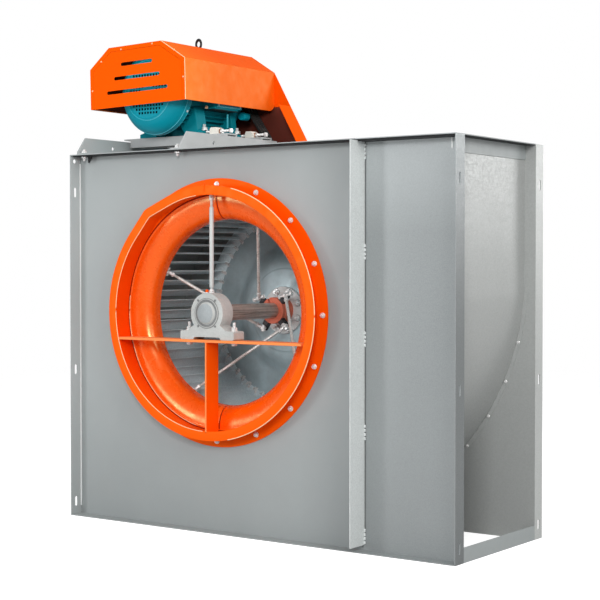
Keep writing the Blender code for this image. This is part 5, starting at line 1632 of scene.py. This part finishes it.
def end_shield():
    low, high = box_of("motor_drive_end_shield")
    shield = Shape()
    outer = (high.x - low.x) / 2
    profile = [(0.034, low.y), (outer, low.y), (outer, low.y + 0.012), (outer - 0.004, low.y + 0.036)]
    profile += [
        (outer - 0.016, low.y + 0.048), (0.070, low.y + 0.056), (0.064, high.y - 0.003), (0.058, high.y)
    ]
    profile.append((0.034, high.y))
    shield.lathe(profile, MOTOR_AXIS, BACKWARD, 96, closed=True)
    for index in range(8):
        turn = pointed(MOTOR_AXIS, -math.radians(45.0 * index + 22.5))
        shield.box((0.060, low.y + 0.040, -0.003), (outer - 0.030, low.y + 0.060, 0.003), turn)
    shield.finish("end_shield_cast", "motor", "motor_teal", "teal", 0.0009, 2, 40, ["motor_drive_end_shield"])


def terminal_box():
    """The terminal box with its gasket and lid, and the plug and the boss beside it."""
    low, high = box_of("terminal_box")
    box = Shape().box((low.x - 0.012, low.y - 0.010, low.z - 0.011), (high.x, high.y - 0.004, high.z - 0.004))
    box.finish("terminal_box_body", "motor", "motor_teal", "teal_dark", 0.005, 4, 35, ["terminal_box"])
    gasket = Shape()
    gasket.box(
        (low.x - 0.010, low.y - 0.008, low.z - 0.0125), (high.x - 0.004, high.y - 0.006, low.z - 0.0108)
    )
    gasket.finish("terminal_box_gasket", "motor", "motor_teal", "seal")
    profile = [(0, 0), (0.0062, 0), (0.0062, 0.0050), (0.0045, 0.0065), (0, 0.0065)]
    plug = Shape().lathe(profile, (high.x - 0.0260, low.y - 0.030, low.z - 0.006), RIGHT, 18)
    plug.finish("frame_plug", "motor", "zinc_fittings", "screw", angle=40)
    profile = [(0, 0), (0.0135, 0), (0.0150, 0.002), (0.0150, 0.036), (0.0120, 0.040), (0, 0.040)]
    boss = Shape().lathe(profile, (high.x - 0.038, 0.478, low.z - 0.020), BACKWARD, 28)
    boss.finish("shield_boss", "motor", "motor_teal", "teal", angle=40)
    low, high = box_of("terminal_box_lid")
    lid = Shape().box(low, high)
    lid.finish("terminal_box_cover", "motor", "motor_teal", "teal", 0.0022, 3, 35, ["terminal_box_lid"])
    screws = Shape()
    for y in (low.y + 0.010, high.y - 0.010):
        for z in (low.z + 0.010, high.z - 0.010):
            screws.hexagon((high.x - 0.0004, y, z), RIGHT, 0.008, 0.003)
    screws.finish("terminal_screws", "motor", "zinc_fittings", "zinc", angle=30)


def cable_gland():
    low, high = box_of("cable_gland")
    gland = Shape()
    at = Vector(((low.x + high.x) / 2, low.y, (low.z + high.z) / 2))
    gland.hexagon(at, BACKWARD, 0.028, 0.009)
    gland.lathe(rectangle(0, 0, 0.0115, 0.010), at + BACKWARD * 0.009, BACKWARD, 24)
    gland.hexagon(at + BACKWARD * 0.016, BACKWARD, 0.026, 0.011, 0.4)
    gland.lathe([(0, 0), (0.0095, 0), (0.0080, 0.0045), (0, 0.0045)], at + BACKWARD * 0.027, BACKWARD, 24)
    gland.finish("gland_fitting", "motor", "motor_teal", "teal", angle=30, nodes=["cable_gland"])


def motor_rotor():
    high = box_of("motor_rotor_shaft")[1]
    front = 0.450
    length = high.y - 0.010 - front
    end = Shape()
    profile = [(0, 0), (0.021, 0), (0.021, length), (0.0195, length + 0.0015), (0, length + 0.0015)]
    end.lathe(profile, (MOTOR_X, front, MOTOR_Z), BACKWARD, 48)
    profile = [(0, 0.136), (0.017, 0.136), (0.017, 0.225), (0.095, 0.225), (0.095, front), (0, front)]
    core = Shape().lathe(profile, MOTOR_AXIS, BACKWARD, 48)
    obj = merge(end.object("rotor_shaft_and_core"), core.object("core"))
    finish_piece(obj, "motor_rotor", "shaft_steel", "shaft", nodes=["motor_rotor_shaft"])
    low, high = box_of("motor_cooling_fan")
    bore = 0.0173
    fan = Shape().lathe(rectangle(bore, high.y - 0.004, 0.125, high.y), MOTOR_AXIS, BACKWARD, 72, closed=True)
    boss = [(bore, low.y), (0.030, low.y), (0.032, high.y - 0.003), (bore, high.y - 0.003)]
    fan.lathe(boss, MOTOR_AXIS, BACKWARD, 48, closed=True)
    for index in range(8):
        turn = pointed(MOTOR_AXIS, -math.radians(45.0 * index))
        fan.box((0.028, low.y + 0.006, -0.0015), (0.118, high.y - 0.002, 0.0015), turn)
    fan.finish(
        "cooling_fan_wheel", "motor_rotor", "pulley_iron", "black", 0.0006, 2, 35, ["motor_cooling_fan"]
    )


# ---------------------------------------------------------------------------------------------
# Motor base
# ---------------------------------------------------------------------------------------------


def base_members():
    """Two angles across the casing's top, their web cut to a slope at the front."""
    # The left angle takes the casing's darker grey, which paints the shade it stands in under the motor.
    for side, inwards, skin in (("left", 1, "casing"), ("right", -1, "support")):
        name = f"base_member_{side}"
        low, high = box_of(name)
        web_x = low.x if side == "left" else high.x
        toe_x, inner_x = web_x + inwards * 0.045, web_x + inwards * BASE_SHEET
        angle = [(web_x, low.z), (toe_x, low.z), (toe_x, low.z + BASE_SHEET)]
        angle += [(inner_x, low.z + BASE_SHEET), (inner_x, high.z), (web_x, high.z)]
        member = flat(f"{name}_angle", [angle], "XZ", low.y, high.y)
        slope = [
            (low.y - 0.01, low.z + 0.010), (low.y, low.z + 0.010), (0.0, high.z + 0.001), (0.0, 1.4),
            (low.y - 0.01, 1.4)
        ]
        holes = [cutter(slope, "YZ", web_x, 0.02)]
        holes += [cutter(circle((y, low.z + 0.032), 0.0065, 20), "YZ", web_x, 0.02) for y in (0.145, 0.345)]
        carve(member, *holes)
        finish_piece(member, "casing", "painted_supports", skin, 0.0010, 2, 40, [name])


def base_bolts():
    bolts = Shape()
    under = CASE_HEIGHT - SHEET
    for x in (0.048, 0.485):
        for y in (-0.026, CASE_DEPTH + 0.020):
            bolts.bolt((x, y, CASE_HEIGHT + 0.0055), UP, 0.010, x * 7, stud=0.005)
            bolts.washer((x, y, under), -UP, 0.011, 0.002)
            bolts.hexagon((x, y, under - 0.002), -UP, 0.017, 0.008, x * 5)
            bolts.thread((x, y, under - 0.010), -UP, 0.005, 0.010)
    bolts.finish("base_bolts", "casing", "zinc_fittings", "zinc", angle=30)


def motor_rails():
    """Two channels that carry the motor's feet, slotted for its bolts."""
    for name in ("motor_rail_front", "motor_rail_rear"):
        low, high = box_of(name)
        near, far, ceiling = low.y + BASE_SHEET, high.y - BASE_SHEET, high.z - BASE_SHEET
        channel = [(low.y, low.z), (near, low.z), (near, ceiling), (far, ceiling)]
        channel += [(far, low.z), (high.y, low.z), (high.y, high.z), (low.y, high.z)]
        rail = flat(f"{name}_channel", [channel], "YZ", low.x - 0.018, high.x)
        under = Shape().box(
            (low.x - 0.03, low.y - 0.01, low.z - 0.01), (low.x + 0.014, high.y + 0.01, ceiling)
        )
        carve(rail, under.object("under"))
        middle = (low.y + high.y) / 2
        slots = []
        for side in (-1, 1):
            slots.append(
                cutter(obround(MOTOR_X + side * 0.127, middle, 0.052, 0.016, False), "XY", high.z, 0.02)
            )
        carve(rail, *slots)
        finish_piece(rail, "casing", "painted_supports", "support", 0.0012, 3, 40, [name])


def motor_base():
    base_members()
    base_bolts()
    motor_rails()
    tension_gear()


def tension_gear():
    """Two lugs on the casing, each with a long screw that pushes the motor and a lock nut."""
    for index in (1, 2):
        low, high = box_of(f"tension_block_{index}")
        y = (low.y + high.y) / 2
        screw_z = middle_of(f"tension_screw_{index}").z
        outline = [(low.x, low.z), (high.x, low.z), (high.x, high.z - 0.010), (high.x - 0.010, high.z)]
        outline += [(low.x + 0.006, high.z), (low.x, high.z - 0.006)]
        block = flat(f"tension_lug_{index}", [outline], "XZ", low.y, high.y)
        bore = Shape().tube([(low.x - 0.01, y, screw_z), (high.x + 0.01, y, screw_z)], 0.0066, 24)
        carve(block, bore.object("bore"))
        finish_piece(block, "casing", "zinc_fittings", "white", 0.0015, 3, 40, [f"tension_block_{index}"])
        section, at = rectangle(0.0068, 0.0, 0.0100, 0.0012), (high.x + 0.0001, y, screw_z)
        collar = revolved(f"tension_bore_{index}", section, at, RIGHT, 24)
        finish_piece(collar, "casing", "zinc_fittings", "rust")
        body = f"tension_screw_{index}"
        low, high = box_of(body)
        screw = Shape()
        screw.thread((low.x, y, screw_z), RIGHT, 0.0048, high.x - low.x - 0.009)
        screw.hexagon((high.x - 0.010, y, screw_z), RIGHT, 0.0150, 0.008)
        screw.finish(f"tension_bolt_{index}", body, "zinc_fittings", "zinc", angle=30, nodes=[body])
        nut = Shape().hexagon((low.x + 0.0695, y, screw_z), RIGHT, 0.0150, 0.006, 0.5)
        nut.finish(f"tension_lock_nut_{index}", "casing", "zinc_fittings", "zinc", angle=30)


# ---------------------------------------------------------------------------------------------
# Hood and belt guard
# ---------------------------------------------------------------------------------------------

HOOD_LOW, HOOD_HIGH = box_of("motor_hood")
HOOD_SIDE_Z = 1.625
HOOD_TOP_X = (0.074, 0.325)
HOOD_TILT = 0.024
HOOD_SLOTS = ((0.289, 1.532), (0.217, 1.581), (0.150, 1.630))
HOOD_SCREWS = (
    (-0.009, 1.546), (0.037, 1.649), (0.135, 1.684), (0.283, 1.689), (0.385, 1.656), (0.424, 1.558)
)
GUARD_RADIUS = FAN_Z - box_of("belt_guard")[0].z


def tilted(points):
    """The hood stands a little out of level: points in XZ turned about its middle."""
    x, z = (HOOD_LOW.x + HOOD_HIGH.x) / 2, (HOOD_LOW.z + HOOD_HIGH.z) / 2
    cosine, sine = math.cos(HOOD_TILT), math.sin(HOOD_TILT)
    return [(x + (a - x) * cosine - (b - z) * sine, z + (a - x) * sine + (b - z) * cosine) for a, b in points]


def hood_outline(inset, bottom):
    lean = inset * 0.55
    return tilted([
        (HOOD_LOW.x + inset, bottom),
        (HOOD_LOW.x + inset, HOOD_SIDE_Z - lean),
        (HOOD_TOP_X[0] + lean, HOOD_HIGH.z - inset),
        (HOOD_TOP_X[1] - lean, HOOD_HIGH.z - inset),
        (HOOD_HIGH.x - inset, HOOD_SIDE_Z - lean),
        (HOOD_HIGH.x - inset, bottom),
    ])


def hood():
    """The hood: a folded wrapper, a front with a lip and a slotted panel, and the lifting eye."""
    hood_wrapper()
    hood_front()
    eye()


def hood_wrapper():
    bottom = HOOD_LOW.z
    front, end = HOOD_LOW.y, HOOD_HIGH.y
    shell = open_sheet("hood_wrapper", hood_outline(0.0, bottom), front + 0.0024, end, 0.0022)
    width, rise = 0.062, 0.034
    corner = [
        (end - width + a * width, bottom + rise + b * rise) for a, b in arc((0, 0), 1.0, -math.pi / 2, 0, 12)
    ]
    corner += [(end + 0.01, bottom + rise), (end + 0.01, bottom - 0.02), (end - width, bottom - 0.02)]
    carve(shell, cutter(corner, "YZ", HOOD_HIGH.x, 0.03))
    finish_piece(shell, "casing", "orange_covers", "wrapper", 0.0014, 3, 25, ["motor_hood"])


def hood_front():
    """The hood's lip, slotted panel, a dark sheet inside that paints its shade, screws, and a pale line that
    paints the highlight along its fold.
    """
    bottom = HOOD_LOW.z
    front, end = HOOD_LOW.y, HOOD_HIGH.y
    outline = [*hood_outline(0.0006, bottom), *reversed(hood_outline(0.0160, bottom))]
    lip = flat("hood_front_lip", [outline], "XZ", front, front + 0.0022)
    finish_piece(lip, "casing", "orange_covers", "cover", 0.0007, 2, 35)
    middle = (HOOD_LOW.x + HOOD_HIGH.x) / 2
    panel = flat("hood_front_panel", [hood_outline(0.0168, bottom)], "XZ", front + 0.0002, front + 0.0024)
    slots = []
    for length, height in HOOD_SLOTS:
        slots.append(cutter(tilted(obround(middle, height, length, 0.0125, upright=False)), "XZ", front))
    carve(panel, *slots)
    finish_piece(panel, "casing", "orange_covers", "cover", 0.0005, 2, 35)
    # A dark sheet inside the hood paints its shade.
    shade_sheet = open_sheet(
        "hood_shade_sheet", hood_outline(0.0045, bottom + 0.004), front + 0.006, end - 0.004, 0.0012
    )
    finish_piece(shade_sheet, "casing", "orange_covers", "inside")
    screws = Shape()
    head = [(0, 0), (0.0034, 0), (0.0034, 0.0008), (0.0024, 0.0022), (0, 0.0026)]
    for x, z in tilted(HOOD_SCREWS):
        screws.lathe(head, (x, front + 0.0001, z), FORWARD, 16)
    screws.finish("hood_screws", "casing", "orange_covers", "screw", angle=40)
    fold = hood_outline(0.0012, bottom + 0.001)
    # A pale tube along the fold paints the highlight it catches.
    edges = Shape().tube([(x, front + 0.0010, z) for x, z in fold[3:]], 0.0014, 8)
    edges.finish("hood_fold_painted_highlight", "casing", "orange_covers", "edge", angle=60)


def eye():
    """The lifting eye: an upright ring on a short stem with a round foot."""
    low, high = box_of("lifting_eye")
    x, y = (low.x + high.x) / 2, (low.y + high.y) / 2
    base = low.z
    loop = Shape()
    ring, thick, sides, stretch = 0.0118, 0.0042, 14, 1.35
    centre_z = high.z + 0.008 - ring * stretch - thick
    angles = [2 * math.pi * i / sides for i in range(sides)]
    loop.lathe(
        [(ring + thick * math.cos(a), thick * math.sin(a)) for a in angles], (x, y, centre_z), BACKWARD, 48,
        closed=True
    )
    for vertex in loop.mesh.verts:
        vertex.co.z = centre_z + (vertex.co.z - centre_z) * stretch
    length = centre_z - ring - base
    stem = [
        (0, 0), (0.0120, 0), (0.0120, 0.0030), (0.0078, 0.0050), (0.0064, 0.0100), (0.0060, length),
        (0, length)
    ]
    loop.lathe(stem, (x, y, base), UP, 32)
    loop.finish("lifting_eye_bolt", "casing", "pulley_iron", "black", nodes=["lifting_eye"])


def tangent_angle(x, z, side):
    across, up = x - FAN_X, z - FAN_Z
    return math.atan2(up, across) + side * math.acos(GUARD_RADIUS / math.hypot(across, up))


def guard_outline(inset):
    lowest_left = HOOD_LOW.z - 0.060
    start = tangent_angle(HOOD_LOW.x, lowest_left, 1)
    end = 2 * math.pi + tangent_angle(HOOD_HIGH.x, HOOD_SIDE_Z, -1)
    curve = arc(FAN, GUARD_RADIUS - inset, start, end, 64)
    top = hood_outline(inset, HOOD_LOW.z)[1:5]
    return [*curve, *reversed(top), (HOOD_LOW.x + inset, lowest_left)]


def open_sheet(name, outline, near, far, thickness):
    """Sheet folded along an open outline in XZ, from one depth to another, its thickness added inwards."""
    mesh = bmesh.new()
    rows = [[mesh.verts.new((x, y, z)) for x, z in outline] for y in (near, far)]
    for i in range(len(outline) - 1):
        mesh.faces.new((rows[0][i], rows[0][i + 1], rows[1][i + 1], rows[1][i]))
    return applied(solidify(as_object(name, mesh), thickness))


def guard():
    """The guard's pan, open at the front where the hood stands, a dark sheet inside that paints its shade,
    and the spacers behind it.
    """
    low, high = box_of("belt_guard")
    back = high.y - 0.0025
    step_z, top_z = HOOD_LOW.z + 0.022, HOOD_HIGH.z + 0.02
    pan = flat("belt_guard_pan", [guard_outline(0.0)], "XZ", low.y, high.y)
    inside = flat("inside", [guard_outline(0.0025)], "XZ", low.y - 0.01, back)
    notch = Shape().box(
        (HOOD_LOW.x - 0.02, low.y - 0.02, HOOD_LOW.z - 0.0005),
        (HOOD_HIGH.x + 0.0004, HOOD_HIGH.y + 0.0004, top_z)
    )
    shoulder = Shape().box((HOOD_HIGH.x - 0.01, low.y - 0.02, step_z), (HOOD_HIGH.x + 0.20, back, top_z))
    carve(pan, inside, notch.object("notch"), shoulder.object("shoulder"))
    finish_piece(pan, "casing", "orange_covers", "cover", 0.0010, 2, 35, ["belt_guard"])
    # A dark sheet inside the pan paints its shade.
    shade_sheet = flat("guard_shade_sheet", [guard_outline(0.006)], "XZ", high.y - 0.0045, high.y - 0.0035)
    carve(shade_sheet, Shape().box((HOOD_HIGH.x - 0.002, 0.0, step_z), (2.0, 1.0, 2.0)).object("shoulder"))
    finish_piece(shade_sheet, "casing", "orange_covers", "inside")
    spacers = Shape()
    for degrees in (200.0, 270.0, 340.0):
        x, z = polar(GUARD_RADIUS - 0.020, degrees)
        spacers.tube([(x, CASE_DEPTH + 0.0005, z), (x, high.y - 0.006, z)], 0.007, 16)
        spacers.hexagon((x, high.y - 0.0058, z), FORWARD, 0.018, 0.008)
    spacers.finish("guard_spacers", "casing", "zinc_fittings", "zinc", angle=35)


# ---------------------------------------------------------------------------------------------
# CAD nodes that stay
# ---------------------------------------------------------------------------------------------


def carried_over():
    """The CAD nodes that stay, in the looks of the pieces round them."""
    for name, skin in (
        ("front_bearing_inner_ring", "shaft"),
        ("rear_bearing_inner_ring", "shaft"),
        ("tongue_wall", "scroll"),
    ):
        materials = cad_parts[name].data.materials
        materials.clear()
        materials.append(SKIN[skin])


# ---------------------------------------------------------------------------------------------
# Stage
# ---------------------------------------------------------------------------------------------

EYE = Vector((3.810, -3.960, 0.905))
YAW = math.radians(35.53)
PITCH = math.radians(-1.35)
LENS = 89.8


def area_light(name, place, target, size, power, colour=(1, 1, 1)):
    data = bpy.data.lights.new(name, "AREA")
    data.shape = "RECTANGLE"
    data.size, data.size_y = size
    data.energy = power
    data.color = colour
    light = linked(name, data)
    light.location = place
    light.rotation_euler = (Vector(target) - Vector(place)).to_track_quat("-Z", "Y").to_euler()
    return light


def mixed(tree, factor, first, second):
    """A Mix Shader node between two shaders."""
    node = tree.nodes.new("ShaderNodeMixShader")
    for socket, source in zip(node.inputs, (factor, first, second)):
        tree.links.new(source, socket)
    return node.outputs["Shader"]


def background(tree, strength, colour=None):
    node = tree.nodes.new("ShaderNodeBackground")
    node.inputs["Strength"].default_value = strength
    if colour:
        node.inputs["Color"].default_value = (*colour, 1.0)
    return node.outputs["Background"]


def camera():
    data = bpy.data.cameras.new("camera")
    data.lens = LENS
    data.sensor_width = 36.0
    obj = linked("camera", data)
    obj.location = EYE + SHIFT
    obj.rotation_euler = (math.pi / 2 + PITCH, 0.0, YAW)
    bpy.context.scene.camera = obj


def ground():
    """A pale round floor that the camera sees a little brighter, and that fades out towards its rim."""
    floor = Shape().lathe([(0, 0), (14.0, 0)], (0, 0, -0.0004), UP, 96).object("floor")
    paint = Paint("floor_white", 0.9, Specular_IOR_Level=0.0)
    paint.colour(paint.ramp(paint.noise(0.8, 3.0), [(0.3, (0.52, 0.52, 0.52)), (0.7, (0.56, 0.56, 0.56))]))
    tree = paint.material.node_tree
    matt = paint.shader.outputs["BSDF"]
    glow = tree.nodes.new("ShaderNodeEmission")
    glow.inputs["Strength"].default_value = 0.78
    lit = tree.nodes.new("ShaderNodeAddShader")
    tree.links.new(matt, lit.inputs[0])
    tree.links.new(glow.outputs["Emission"], lit.inputs[1])
    path = tree.nodes.new("ShaderNodeLightPath")
    choice = mixed(tree, path.outputs["Is Camera Ray"], matt, lit.outputs["Shader"])
    distance = tree.nodes.new("ShaderNodeVectorMath")
    distance.operation = "LENGTH"
    tree.links.new(paint.place, distance.inputs[0])
    clear = tree.nodes.new("ShaderNodeBsdfTransparent")
    away = paint.remap(distance.outputs["Value"], 3.0, 8.0)
    tree.links.new(
        mixed(tree, away, choice, clear.outputs["BSDF"]), tree.nodes["Material Output"].inputs["Surface"]
    )
    floor.data.materials.append(paint.material)


def studio():
    """A white background for the camera, a soft fill for the rest, and a dim one for reflections."""
    world = bpy.data.worlds.new("studio")
    bpy.context.scene.world = world
    world.use_nodes = True
    tree = world.node_tree
    fill = tree.nodes["Background"]
    fill.inputs["Color"].default_value = (0.97, 0.985, 1.0, 1.0)
    fill.inputs["Strength"].default_value = 0.34
    dim = background(tree, 0.12)
    white = background(tree, 1.0, (1.0, 1.0, 1.0))
    path = tree.nodes.new("ShaderNodeLightPath")
    shine = mixed(tree, path.outputs["Is Glossy Ray"], fill.outputs["Background"], dim)
    seen = mixed(tree, path.outputs["Is Camera Ray"], shine, white)
    tree.links.new(seen, tree.nodes["World Output"].inputs["Surface"])


def lights():
    target = (0.0, 0.0, 0.75)
    area_light("key_right", (5.2, -2.4, 3.4), target, (2.6, 2.6), 112.0, (1.0, 0.985, 0.96))
    front = area_light("front_left", (-2.6, -5.4, 2.8), target, (3.0, 2.4), 78.0, (0.96, 0.98, 1.0))
    front.visible_glossy = False
    area_light("camera_side", EYE + SHIFT + Vector((-0.3, -0.3, 1.5)), target, (1.1, 1.1), 112.0)
    area_light("top", (0.4, -0.6, 5.2), (0.2, 0.0, 0.9), (3.2, 3.2), 82.0)
    area_light("rear_right_sheen", (3.6, 4.2, 2.2), (-0.5, 0.1, 1.5), (2.4, 2.4), 95.0)
    area_light("disc_glare", (-2.3, -3.35, 1.0), (0.05, 0.1, 0.70), (0.7, 0.7), 20.0)
    lamp = area_light("under_hood_fill", (-0.56, -0.175, 1.60), (-0.56, 0.2, 1.56), (0.26, 0.10), 0.07)
    lamp.visible_camera = lamp.visible_glossy = False


def stage():
    camera()
    ground()
    studio()
    lights()
    settings = bpy.context.scene.view_settings
    settings.view_transform = "Standard"
    settings.look = "None"


side_plates()
joint_flange()
flange_shade_and_beads()
bottom_strips()
outlet_flanges()
scroll()
inlet()
bearing_support()
front_bearing()
grease_line()
rear_bearing()
shaft_and_hub()
tie_rods()
blades()
back_plate()
pulley("fan_pulley_turned", "fan_pulley", FAN_X, FAN_Z, "fan_rotor", True)
pulley("motor_pulley_turned", "motor_pulley", MOTOR_X, MOTOR_Z, "motor_rotor", False)
belts()
motor_cowl()
motor_frame()
end_shield()
terminal_box()
cable_gland()
motor_rotor()
motor_base()
hood()
guard()
carried_over()
stage()

bpy.context.view_layer.update()
